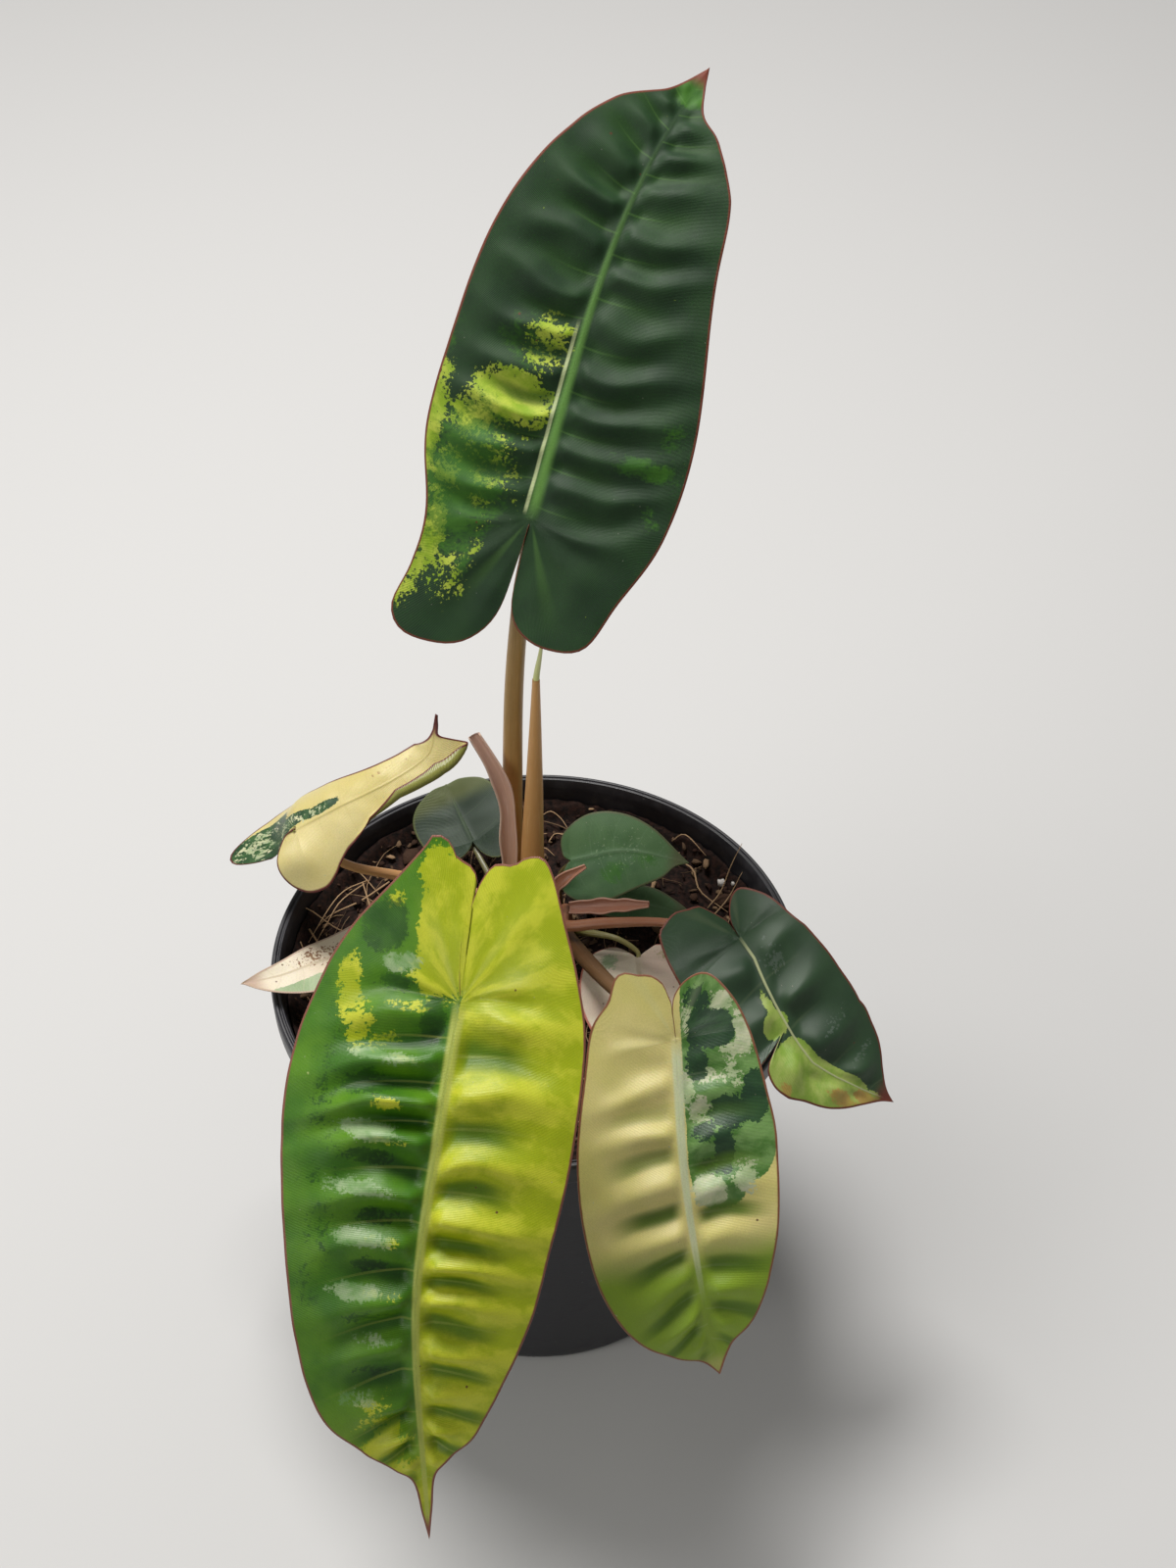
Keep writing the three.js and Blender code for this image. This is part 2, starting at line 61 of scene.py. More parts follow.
def spline(points, shares):
    # evenly weighted Catmull-Rom curve, the one that the frame's stalks and blades follow
    points = np.asarray(points, float)
    last = len(points) - 1
    place = np.clip(shares, 0, 1) * last
    step = np.minimum(place.astype(int), last - 1)
    w = (place - step)[:, None]
    ends = np.vstack([2 * points[0] - points[1], points, 2 * points[-1] - points[-2]])
    before, here, after, beyond = ends[step], ends[step + 1], ends[step + 2], ends[step + 3]
    leave = (after - before) / 2
    arrive = (beyond - here) / 2
    return ((2 * here - 2 * after + leave + arrive) * w**3
            + (3 * after - 3 * here - 2 * leave - arrive) * w**2 + leave * w + here)


def runLength(points):
    return np.r_[0, np.cumsum(np.linalg.norm(np.diff(points, axis=0), axis=1))]


def unit(vectors):
    return vectors / np.linalg.norm(vectors, axis=-1, keepdims=True)


def evenSpline(points, count):
    # count points at even distances along the curve
    dense = spline(points, np.linspace(0, 1, 600))
    run = runLength(dense)
    wanted = np.linspace(0, run[-1], count)
    return np.stack([np.interp(wanted, run, dense[:, k]) for k in range(dense.shape[1])], 1)


def smooth(low, high, value):
    t = np.clip((np.asarray(value, float) - low) / (high - low), 0, 1)
    return t * t * (3 - 2 * t)


def anglesRound(sides):
    return np.linspace(0, 2 * math.pi, sides, endpoint=False)


def guide(points, facing, count):
    # centres, run directions, upward and sideways directions along a curve
    centres = evenSpline(points, count)
    tangents = unit(np.gradient(centres, axis=0))
    share = np.linspace(0, 1, count)[:, None]
    first, last = (unit(np.array(v, float)) for v in facing)
    up = (1 - share) * first + share * last
    up = unit(up - (up * tangents).sum(1, keepdims=True) * tangents)
    return centres, tangents, up, np.cross(tangents, up)


def noiseAt(places, size, seed=0):
    # soft noise from about -1 to 1 at each place, with lumps about size across
    flat = np.asarray(places, float).reshape(-1, np.shape(places)[-1]) / size + seed * 17.3
    if flat.shape[1] == 2:
        flat = np.c_[flat, np.full(len(flat), seed * 5.1)]
    values = [noise.noise(Vector(p)) for p in flat]
    return np.array(values).reshape(np.shape(places)[:-1])


# Meshes

def addMesh(name, vertices, faces, fields=None):
    # vertices in millimetres; fields are named lists of three numbers a vertex, read by the materials
    mesh = bpy.data.meshes.new(name)
    mesh.from_pydata((np.asarray(vertices, float) * mm).tolist(), [], faces)
    for field, values in (fields or {}).items():
        layer = mesh.attributes.new(field, "FLOAT_VECTOR", "POINT")
        layer.data.foreach_set("vector", np.asarray(values, np.float32).ravel())
    mesh.polygons.foreach_set("use_smooth", [True] * len(mesh.polygons))
    mesh.update()
    piece = bpy.data.objects.new(name, mesh)
    bpy.context.scene.collection.objects.link(piece)
    return piece


def handOver(piece, material, slotName, *nodes):
    piece.data.materials.append(material)
    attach(piece, "root")
    if nodes:
        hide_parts(*nodes)
    return piece


def joinParts(parts):
    # parts are (vertices, faces, fields); returns them as one
    vertices, faces, fields, start = [], [], {}, 0
    for partVertices, partFaces, partFields in parts:
        vertices.append(partVertices)
        faces += [tuple(i + start for i in face) for face in partFaces]
        for field, values in partFields.items():
            fields.setdefault(field, []).append(values)
        start += len(partVertices)
    return np.vstack(vertices), faces, {field: np.vstack(values) for field, values in fields.items()}


def ringFaces(rings, sides, offset=0):
    # quads between closed rings of vertices, with a fan at both ends round the last two vertices
    faces = []
    for r in range(rings - 1):
        for k in range(sides):
            a, b = offset + r * sides + k, offset + r * sides + (k + 1) % sides
            faces.append((a, b, b + sides, a + sides))
    first, last = offset + rings * sides, offset + rings * sides + 1
    top = offset + (rings - 1) * sides
    for k in range(sides):
        faces.append((first, offset + (k + 1) % sides, offset + k))
        faces.append((last, top + k, top + (k + 1) % sides))
    return faces


def sweep(points, facing, halfWidths, halfDepths, sides, rings, shape=None):
    # tube with an oval section; facing is the direction that its depth is measured in
    centres, tangents, up, across = guide(points, facing, rings)
    shares = np.linspace(0, 1, rings)
    width = np.interp(shares, np.linspace(0, 1, len(halfWidths)), halfWidths)
    depth = np.interp(shares, np.linspace(0, 1, len(halfDepths)), halfDepths)
    angle = anglesRound(sides)
    swell = np.ones((rings, sides)) if shape is None else shape(shares[:, None], angle[None, :])
    rise = np.cos(angle)[None, :, None] * (depth[:, None] * swell)[..., None]
    side = np.sin(angle)[None, :, None] * (width[:, None] * swell)[..., None]
    ring = centres[:, None] + up[:, None] * rise + across[:, None] * side
    run = runLength(centres)
    around = angle[None, :] * width.mean()
    fieldGrid = np.stack(np.broadcast_arrays(run[:, None], around, shares[:, None]), -1)
    ends = np.array([centres[0] - tangents[0] * depth[0] * 0.3, centres[-1] + tangents[-1] * depth[-1] * 0.5])
    vertices = np.vstack([ring.reshape(-1, 3), ends])
    field = np.vstack([fieldGrid.reshape(-1, 3), [[0, 0, 0], [run[-1], 0, 1]]])
    return vertices, ringFaces(rings, sides), {"along": field}


# Materials

class Amount:
    # a number that a material works out; sums written with it add the nodes they need

    def __init__(self, finish, socket):
        self.finish = finish
        self.socket = socket

    def __add__(self, other):
        return self.finish.sums("ADD", self, other)

    def __sub__(self, other):
        return self.finish.sums("SUBTRACT", self, other)

    def __rsub__(self, other):
        return self.finish.sums("SUBTRACT", other, self)

    def __mul__(self, other):
        return self.finish.sums("MULTIPLY", self, other)

    def __abs__(self):
        return self.finish.sums("ABSOLUTE", self)


class Finish:
    # one material with a Principled shader, and short ways to add the nodes that feed it

    def __init__(self, name, **shader):
        self.material = bpy.data.materials.new(name)
        self.material.use_nodes = True
        self.tree = self.material.node_tree
        self.shader = self.tree.nodes["Principled BSDF"]
        for socket, value in shader.items():
            self.shader.inputs[socket.replace("_", " ")].default_value = value

    def feed(self, socket, value):
        value = value.socket if isinstance(value, Amount) else value
        if isinstance(value, bpy.types.NodeSocket):
            self.tree.links.new(value, socket)
        elif hasattr(socket.default_value, "__len__") and len(value) == 3 and len(socket.default_value) == 4:
            socket.default_value = (*value, 1)
        else:
            socket.default_value = value

    def add(self, kind, inputs=None, **settings):
        made = self.tree.nodes.new(kind)
        for key, value in settings.items():
            setattr(made, key, value)
        for socket, value in (inputs or {}).items():
            self.feed(made.inputs[socket], value)
        return made

    def parts(self, field):
        # the three numbers of a mesh field
        source = self.add("ShaderNodeAttribute", attribute_name=field)
        split = self.add("ShaderNodeSeparateXYZ", {0: source.outputs["Vector"]})
        return [Amount(self, split.outputs[k]) for k in range(3)]

    def place(self, x, y, z=0.0):
        return self.add("ShaderNodeCombineXYZ", {0: x, 1: y, 2: z}).outputs[0]

    def sums(self, operation, first, second=0.0):
        return Amount(self, self.add("ShaderNodeMath", {0: first, 1: second}, operation=operation).outputs[0])

    def noise(self, where, size, detail=3.0, roughness=0.55, warp=0.0):
        # 0 to 1, with lumps about size across
        made = self.add("ShaderNodeTexNoise", {"Vector": where, "Scale": 1 / size, "Detail": detail,
                                               "Roughness": roughness, "Distortion": warp})
        return Amount(self, made.outputs[0])

    def window(self, value, low, high):
        # 0 below low, 1 above high, smooth between; turned round when low is above high
        made = self.add("ShaderNodeMapRange", {"Value": value, "From Min": low, "From Max": high},
                        interpolation_type="SMOOTHSTEP")
        return Amount(self, made.outputs[0])

    def mix(self, share, first, second, blend="MIX"):
        return self.add("ShaderNodeMix", {0: share, 6: first, 7: second}, data_type="RGBA",
                        blend_type=blend).outputs[2]

    def spots(self, where, spacing, size, share):
        # round dots: 1 inside; share of the cells have one
        cells = self.add("ShaderNodeTexVoronoi", {"Vector": where, "Scale": 1 / spacing, "Randomness": 1.0})
        inside = self.window(cells.outputs["Distance"], size / spacing, size / spacing * 0.6)
        chosen = self.add("ShaderNodeSeparateColor", {0: cells.outputs["Color"]}).outputs[0]
        return inside * self.sums("LESS_THAN", chosen, share)

    def bump(self, height, strength, distance):
        made = self.add("ShaderNodeBump", {"Height": height, "Strength": strength, "Distance": distance * mm})
        self.tree.links.new(made.outputs[0], self.shader.inputs["Normal"])

    def colour(self, value):
        self.feed(self.shader.inputs["Base Color"], value)

    def rough(self, value):
        self.feed(self.shader.inputs["Roughness"], value)


def objectPlace(finish):
    # where on its object a point lies, in millimetres
    where = finish.add("ShaderNodeTexCoord").outputs["Object"]
    return finish.add("ShaderNodeVectorMath", {0: where, 1: (1 / mm,) * 3}, operation="MULTIPLY").outputs[0]


# Pot: a thin moulded shell with a turned-out rim, a foot ring and drain holes
potLook = {
    "rimRadius": 75, "height": 120, "bandHeight": 8, "shoulderRadius": 72, "baseRadius": 54,
    "wall": 1.3, "floor": 4, "lip": 2.4, "padRadius": 20, "footInner": 44, "channel": 2.5,
    "holes": 8, "holeRadius": 4.5, "holeRing": 32, "segments": 220,
    "plastic": (0.019, 0.019, 0.024), "dust": (0.16, 0.15, 0.16),
}


def filletProfile(corners, steps=4):
    # corners are (radius, height, rounding)
    made = []
    for before, here, after in zip(corners, corners[1:], corners[2:]):
        corner = np.array(here[:2], float)
        toBefore = np.array(before[:2], float) - corner
        toAfter = np.array(after[:2], float) - corner
        reach = min(here[2], 0.4 * np.linalg.norm(toBefore), 0.4 * np.linalg.norm(toAfter))
        start = corner + unit(toBefore) * reach
        end = corner + unit(toAfter) * reach
        for t in np.linspace(0, 1, steps + 1):
            made.append((1 - t) ** 2 * start + 2 * t * (1 - t) * corner + t * t * end)
    return [np.array(corners[0][:2], float), *made, np.array(corners[-1][:2], float)]


def potPlastic():
    finish = Finish("blackPlastic", Roughness=0.42, Specular_IOR_Level=0.45)
    where = objectPlace(finish)
    height = finish.add("ShaderNodeSeparateXYZ", {0: where}).outputs[2]
    dirt = finish.window(finish.noise(where, 9, 6, 0.7) + finish.window(height, 110, 119) * 0.1, 0.5, 0.85)
    speck = finish.spots(where, 2.6, 0.32, 0.16)
    shade = finish.mix(dirt * 0.22, potLook["plastic"], potLook["dust"])
    finish.colour(finish.mix(speck * 0.5, shade, potLook["dust"]))
    finish.rough(dirt * 0.28 + 0.36)
    drawn = finish.add("ShaderNodeVectorMath", {0: where, 1: (1, 1, 9)}, operation="MULTIPLY").outputs[0]
    scratch = finish.noise(drawn, 3.5, 4, 0.6)
    finish.bump(finish.noise(where, 0.5, 3) * 0.5 + scratch, 0.25, 0.12)
    return finish.material


def makePot():
    look = potLook
    r, h, s = look["rimRadius"], look["height"], look["shoulderRadius"]
    bandBottom = h - look["bandHeight"]
    corners = [
        (0, 0, 0), (look["padRadius"], 0, 0.5), (look["padRadius"] + 2, look["channel"], 0.8),
        (look["footInner"] - 2, look["channel"], 0.8), (look["footInner"], 0, 0.5),
        (look["baseRadius"] - 1.2, 0, 1), (look["baseRadius"], 2.2, 1.5), (s, bandBottom, 0.6),
        (r - 0.9, bandBottom, 0.5), (r - 0.25, bandBottom + 1.2, 0.5), (r, h - 1, 0.9),
        (r - 0.5, h, 0.5), (r - 1.25, h, 0.25), (r - 1.5, h - 0.55, 0.25), (r - 1.95, h - 0.5, 0.2),
        (r - 2.15, h - 0.05, 0.25), (r - look["lip"] - 0.1, h - 0.1, 0.3),
        (r - look["lip"] - 0.9, h - 2.4, 0.8), (s - look["wall"], bandBottom - 1, 0.8),
        (look["baseRadius"] - look["wall"], look["floor"], 1.5), (0, look["floor"], 0),
    ]
    profile = filletProfile(corners)
    sides = look["segments"]
    angle = anglesRound(sides)
    rings = np.array(profile[1:-1])
    vertices = np.stack([np.outer(rings[:, 0], np.cos(angle)), np.outer(rings[:, 0], np.sin(angle)),
                         np.repeat(rings[:, 1:], sides, 1)], -1).reshape(-1, 3)
    vertices = np.vstack([vertices, [[0, 0, profile[0][1]], [0, 0, profile[-1][1]]]])
    pot = addMesh("pot", vertices, ringFaces(len(rings), sides))

    cutterParts = []
    for k in range(look["holes"]):
        turn = k / look["holes"] * 2 * math.pi
        x, y = math.cos(turn) * look["holeRing"], math.sin(turn) * look["holeRing"]
        cutterParts.append(sweep([(x, y, -5), (x, y, 3), (x, y, 12)], [(1, 0, 0), (1, 0, 0)],
                                 [look["holeRadius"]] * 2, [look["holeRadius"]] * 2, 28, 3))
    cutter = addMesh("holeCutter", *joinParts(cutterParts)[:2])
    cut = pot.modifiers.new("holes", "BOOLEAN")
    cut.object = cutter
    cut.solver = "EXACT"
    bpy.context.view_layer.update()
    whole = pot.evaluated_get(bpy.context.evaluated_depsgraph_get())
    mesh = bpy.data.meshes.new_from_object(whole)
    pot.modifiers.clear()
    pot.data = mesh
    bpy.data.objects.remove(cutter)
    handOver(pot, potPlastic(), "black_plastic", "pot")


makePot()
print("pot made")


# Substrate: moist coir chips and peat, with chips, fibres and a crumb of perlite on it
soilLook = {
    "level": 108.5, "moundHeight": 1.6, "moundSpread": 15, "crown": (-0.5, 25), "radius": 70.6, "rings": 96,
    "edgeRise": 4.5, "edgeStart": 65.5,  # crumbs banked up against the wall of the pot
    "chipPush": 0.28, "chipLength": (0.9, 3.4), "chipClear": 1.5, "fibreClear": 3, "fibreSteps": 5,
    "fibreStride": (1.6, 6), "fibreRadius": (0.07, 0.2),
    "segments": 300, "relief": 1.5, "chips": 1900, "fibres": 240, "seed": 11,
    "peat": (0.005, 0.0035, 0.003), "husk": (0.036, 0.014, 0.009), "tan": (0.46, 0.3, 0.17),
}


def soilHeight(x, y):
    look = soilLook
    distance = np.hypot(x - look["crown"][0], y - look["crown"][1])
    mound = look["moundHeight"] * np.exp(-((distance / look["moundSpread"]) ** 2))
    bank = look["edgeRise"] * smooth(look["edgeStart"], look["radius"], np.hypot(x, y))
    ripples = 0.7 * np.sin(x / 8 + 1) * np.cos(y / 9) + 0.4 * np.sin(x / 5 - y / 6)
    return look["level"] + mound + bank + ripples


def onSoil(x, y, lift):
    return (x, y, float(soilHeight(x, y)) + lift)


def onDisc(draw, reach):
    r = reach * math.sqrt(draw.random())
    a = draw.uniform(0, 2 * math.pi)
    return r * math.cos(a), r * math.sin(a)


def coirFinish(name, fine):
    finish = Finish(name, Roughness=0.92, Specular_IOR_Level=0.2)
    where = objectPlace(finish)
    tint, bright, _ = finish.parts("tint")
    grain = finish.noise(where, fine, 5, 0.65)
    shade = finish.mix(finish.window(grain, 0.35, 0.75), soilLook["peat"], soilLook["husk"])
    shade = finish.mix(tint, shade, soilLook["husk"])
    finish.colour(finish.mix(bright, shade, soilLook["tan"]))
    finish.rough(grain * -0.4 + 1.05)
    finish.bump(finish.noise(where, fine * 0.4, 4, 0.7), 0.8, 0.35)
    return finish.material


def makeSoil():
    look = soilLook
    rings, sides = look["rings"], look["segments"]
    angle = anglesRound(sides)
    radii = look["radius"] * np.sqrt(np.linspace(1, 0.0004, rings))
    x = np.outer(radii, np.cos(angle))
    y = np.outer(radii, np.sin(angle))
    flat = np.stack([x, y], -1)
    lumps = (noiseAt(flat, 5, 1) * 0.55 + noiseAt(flat, 2.2, 2) * 0.5 + noiseAt(flat, 1.1, 3) * 0.3)
    z = soilHeight(x, y) + look["relief"] * lumps
    bottomRadius = potLook["baseRadius"] - potLook["wall"] - 0.6
    bottomHeight = potLook["floor"] + 0.3
    lower = np.stack([bottomRadius * np.cos(angle), bottomRadius * np.sin(angle),
                      np.full(sides, bottomHeight)], -1)
    vertices = np.vstack([lower, np.stack([x, y, z], -1).reshape(-1, 3),
                          [[0, 0, bottomHeight], [0, 0, z[-1].mean()]]])
    tint = np.zeros((len(vertices), 3))
    tint[sides:-2, 0] = np.clip(lumps.ravel() * 0.5, 0, 0.5)
    soil = addMesh("substrate", vertices, ringFaces(rings + 1, sides), {"tint": tint})
    handOver(soil, coirFinish("coirPeat", 1.6), "coir_substrate", "substrate")


def roughChip(draw, size, turn, tilt, centre, tint):
    # angular lump: a coarse sphere with its corners pushed about, then flattened
    sides, rings = 6, 4
    lift = np.linspace(0, math.pi, rings + 2)[1:-1]
    angle = anglesRound(sides)
    out = np.sin(lift)[:, None]
    ring = np.stack(np.broadcast_arrays(out * np.cos(angle), out * np.sin(angle), -np.cos(lift)[:, None]), -1)
    points = np.vstack([ring.reshape(-1, 3), [[0, 0, -1], [0, 0, 1]]])
    push = soilLook["chipPush"]
    points = points * (1 + np.array([[draw.uniform(-push, push)] for _ in points])) * np.array(size) / 2
    ct, st = math.cos(turn), math.sin(turn)
    ca, sa = math.cos(tilt), math.sin(tilt)
    spin = np.array([[ct, -st * ca, st * sa], [st, ct * ca, -ct * sa], [0, sa, ca]])
    points = points @ spin.T + np.array(centre)
    return points, ringFaces(rings, sides), {"tint": np.tile([tint[0], tint[1], 0], (len(points), 1))}


# Bark chips that the frame has too, in the same places; the small chips are drawn at random
barkChips = [
    {"at": (56, 34), "size": (9, 5.2, 2.4), "turn": 0.4},
    {"at": (34, 56), "size": (7.2, 4.4, 2.8), "turn": 1.9},
    {"at": (22, 58), "size": (10, 4.8, 2.2), "turn": 2.6},
    {"at": (-38, 50), "size": (8.4, 6, 2.6), "turn": 1.1},
    {"at": (-40, -34), "size": (10.4, 5.6, 2.8), "turn": 0.2},
    {"at": (8, -52), "size": (9.6, 6.4, 2.4), "turn": 2.2},
]


def makeChips():
    look = soilLook
    draw = random.Random(look["seed"])
    parts = []
    for chip in barkChips:
        centre = onSoil(*chip["at"], 0.4 * chip["size"][2])
        tilt = draw.uniform(-0.2, 0.2)
        parts.append(roughChip(draw, chip["size"], chip["turn"], tilt, centre, (0.7, 0.05)))
    shortest, extra = look["chipLength"]
    for _ in range(look["chips"]):
        x, y = onDisc(draw, look["radius"] - look["chipClear"])
        length = shortest + extra * draw.random() ** 2.2
        size = (length, length * draw.uniform(0.3, 0.8), length * draw.uniform(0.18, 0.5))
        centre = onSoil(x, y, draw.uniform(0, 1.3))
        tint = (draw.uniform(0.1, 0.9), 0.8 * draw.random() ** 5)
        parts.append(roughChip(draw, size, draw.uniform(0, 6.3), draw.uniform(-0.7, 0.7), centre, tint))
    chips = addMesh("coirChips", *joinParts(parts))
    nodes = [f"bark_chip_{k + 1}" for k in range(len(barkChips))]
    handOver(chips, coirFinish("coirChip", 1.1), "bark", *nodes)


perliteLook = {
    "crumbs": [(54.3, 39, 2.9), (57.6, 36.8, 1.4), (-28, -36, 1.2)],  # x, y and size
    "white": (0.85, 0.83, 0.8), "stain": (0.5, 0.45, 0.4), "seed": 5,
}


def makePerlite():
    look = perliteLook
    draw = random.Random(look["seed"])
    parts = []
    for x, y, size in look["crumbs"]:
        shape = (size, size * 0.9, size * 0.8)
        parts.append(roughChip(draw, shape, draw.uniform(0, 6), 0.4, onSoil(x, y, 1.5), (0, 0)))
    perlite = addMesh("perlite", *joinParts(parts))
    finish = Finish("perliteFoam", Roughness=0.95)
    where = objectPlace(finish)
    finish.colour(finish.mix(finish.noise(where, 0.6, 4), look["white"], look["stain"]))
    finish.bump(finish.noise(where, 0.35, 3), 0.8, 0.3)
    handOver(perlite, finish.material, "perlite", "perlite_crumb")


# Fibres and fine roots that can be told apart in the photograph, as (x, y, height over the substrate)
fibreRoutes = [
    {"route": [(-66, 18, 1), (-60, 10, 1.6), (-52, 4, 1.4), (-47, -6, 1)], "radius": 0.3},
    {"route": [(-44, 40, 1), (-52, 32, 1.5), (-60, 26, 1.4), (-64, 20, 1)], "radius": 0.3},
    {"route": [(40, 50, 1), (46, 44, 1.6), (48, 36, 1.5), (56, 28, 1)], "radius": 0.28},
    {"route": [(10, 60, 1), (16, 54, 1.6), (26, 50, 1.5), (32, 42, 1)], "radius": 0.28},
]


looseStrands = [
    [(-50.4, 39.6, 1.6), (-56.7, 34.4, 2.4), (-60.8, 26.9, 2.4), (-66, 14.2, 1)],
    [(-50.4, 39.6, 1.2), (-57.6, 30.9, 2), (-61.1, 22.3, 1.8), (-64.1, 15.3, 1)],
    [(-69, 25, 1), (-65.2, 23, 1.8), (-56.4, 19.6, 2), (-46.5, 21.5, 1)],
    [(-68.1, 12.6, 1), (-66, 9, 1.4), (-64, 5.8, 1)], [(-56.1, 43, 1), (-51.6, 41, 1.6), (-46.4, 34.8, 1)],
    [(-51.8, 38.8, 1.8), (-49.6, 31.6, 1.4), (-48.2, 26.2, 0.8)],
    [(50, 30, 1), (54, 34, 4), (57, 38, 8), (60, 41, 12)],
    [(51, 26, 1), (56, 31, 4), (60, 34.5, 7.5)], [(40, 55, 1), (44, 54, 2.2), (50, 47, 1)],
    [(1, 66.1, 1.4), (3.6, 66.6, 2.4), (6.6, 64.9, 2), (9, 61.4, 1)],
    [(3.1, 55.8, 1), (4.9, 58.2, 2), (7.5, 57.8, 2), (9.6, 54.1, 1)],
    [(-0.3, 51.7, 1), (2, 52.5, 2), (5, 50.1, 1)],
    [(26.7, 59.1, 1), (29.7, 60.7, 2), (33.2, 59.1, 1)],
]


def fibre(route, radius, bright, rings=12):
    points = [onSoil(*place) for place in route]
    radii = [radius, radius, radius * 0.4]
    vertices, faces, _ = sweep(points, [(0, 0.02, 1)] * 2, radii, radii, 5, rings)
    return vertices, faces, {"tint": np.tile([0.6, bright, 0], (len(vertices), 1))}


def makeFibres():
    look = soilLook
    draw = random.Random(look["seed"] + 1)
    parts = [fibre(strand["route"], strand["radius"], 0.9) for strand in fibreRoutes]
    parts += [fibre(route, 0.2, 1.0) for route in looseStrands]
    reach = look["radius"] - look["fibreClear"]
    while len(parts) < look["fibres"]:
        x, y = onDisc(draw, reach)
        heading = draw.uniform(0, 2 * math.pi)
        bend = draw.uniform(-0.35, 0.35)
        stride = draw.uniform(*look["fibreStride"])
        lift = draw.uniform(0.2, 1)
        route = []
        for k in range(look["fibreSteps"]):
            route.append((x, y, lift + 1.3 * math.sin(k * 0.8) * draw.random()))
            x += stride * math.cos(heading)
            y += stride * math.sin(heading)
            heading += bend + draw.uniform(-0.3, 0.3)
        if max(math.hypot(px, py) for px, py, _ in route) < reach:
            parts.append(fibre(route, draw.uniform(*look["fibreRadius"]), draw.uniform(0.2, 1), 9))
    fibres = addMesh("coirFibres", *joinParts(parts))
    nodes = [f"coir_fibre_{k + 1}" for k in range(len(fibreRoutes))]
    handOver(fibres, coirFinish("coirThread", 0.7), "coir_fibre", *nodes)


makeSoil()
makeChips()
makePerlite()
makeFibres()
print("substrate made")


# Leaf blades. u runs along the midrib from the stalk to the tip, v out from it; millimetres.

def bladeSpace(look):
    # place(u, v, lift): a point on the blade or lift above it
    rib = spline(look["rib"], np.linspace(0, 1, 500))
    run = runLength(rib)
    length = run[-1]
    tangent = unit(np.gradient(rib, run, axis=0))
    share = (run / length)[:, None]
    base, tip = (unit(np.array(v, float)) for v in look["facing"])
    up = base * (1 - share) + tip * share
    up = unit(up - (up * tangent).sum(1, keepdims=True) * tangent)
    across = np.cross(tangent, up)

    def place(u, v, lift):
        on = np.clip(u, 0, length)
        r, t, n, b = (np.stack([np.interp(on, run, table[:, k]) for k in range(3)], -1)
                      for table in (rib, tangent, up, across))
        return r + (u - on)[..., None] * t + v[..., None] * b + lift[..., None] * n

    return place, length


def veinReach(foot, v, look, length, slope):
    # how far towards the tip a side vein has run, v out from its foot on the midrib
    lean = slope + (look["tipSlope"] - slope) * np.clip(foot / length, 0, 1) ** 3
    return lean * v + look["sweep"] * v * v


def halfRows(margin, look, length, slope):
    # rows of one half of the blade along its side veins: midrib foot, margin point and slack of each
    outline = spline([(0, 0), *margin, (length, 0)], np.linspace(0, 1, 4000))
    foot = outline[:, 0].copy()
    for _ in range(30):
        foot = outline[:, 0] - veinReach(foot, outline[:, 1], look, length, slope)
    behind = np.nonzero(foot[:-1] < 0)[0]
    turn = behind[-1] + 1 if len(behind) else 1
    lobe = outline[: turn + 1]
    run = runLength(lobe)
    wanted = np.linspace(0, run[-1], look["lobeRows"] + 2)[1:-1]
    lobeEdge = np.stack([np.interp(wanted, run, lobe[:, k]) for k in range(2)], 1)
    feet = np.linspace(0, length, look["rows"] + 1)[:-1]
    rising = np.maximum.accumulate(foot[turn:]) + np.arange(len(foot) - turn) * 1e-9
    bladeEdge = np.stack([np.interp(feet, rising, outline[turn:, k]) for k in range(2)], 1)
    edge = np.vstack([lobeEdge, bladeEdge])
    feet = np.r_[np.zeros(len(lobeEdge)), feet]
    slack = edge[:, 0] - feet - veinReach(feet, edge[:, 1], look, length, slope)
    angle = np.where(np.arange(len(feet)) < len(lobeEdge), np.arctan2(-slack, edge[:, 1]), 0)
    return feet, edge, slack, angle


def veinNumber(feet, crests, spacing):
    # whole numbers on the crests of the quilting, whose places along the midrib are listed
    crests = np.array(crests, float)
    number = np.interp(feet, crests, np.arange(len(crests)))
    number = np.where(feet < crests[0], (feet - crests[0]) / spacing, number)
    return np.where(feet > crests[-1], len(crests) - 1 + (feet - crests[-1]) / spacing * 1.25, number)


def patchField(u, v, blobs):
    # highest in the middle of each blob, 0 at its rim; blobs are (u, v, reach along u, reach along v,
    # strength) and, for a squarer one, the power of its outline
    field = np.zeros(np.shape(u))
    for cu, cv, ru, rv, strength, *power in blobs:
        n = power[0] if power else 2
        inside = 1 - np.abs((u - cu) / ru) ** n - np.abs((v - cv) / rv) ** n
        field = np.maximum(field, strength * np.clip(inside, 0, 1))
    return field


bladeDefaults = {
    "fold": 0.1, "cup": -0.004, "rows": 110, "lobeRows": 26, "columns": 30, "slope": (0.0, 0.0),
    "tipSlope": 0.8,
    "sweep": 0.005, "spacing": 12, "crests": ([0], [4]), "quilt": 2.0, "crest": 0.75, "wave": 0.8,
    "waveSize": 24,
    "quiltStart": 4.5, "quiltEnd": (0.3, 0.95), "thick": 0.5, "ribRadius": 1.4, "ribWidth": (3.2, 0.8),
    "lobeStep": 0.55, "lobeReach": 26, "seed": 1, "patches": ([], [], []), "ribShift": [(0, 0), (1, 0)],
    "bend": None, "channel": 1.0, "curled": False, "lobeRelief": 0.12, "reliefGrows": (-1, 1, 1.0),
}


sideGap = 40  # sets the two halves' side veins apart, so that they don't mirror each other


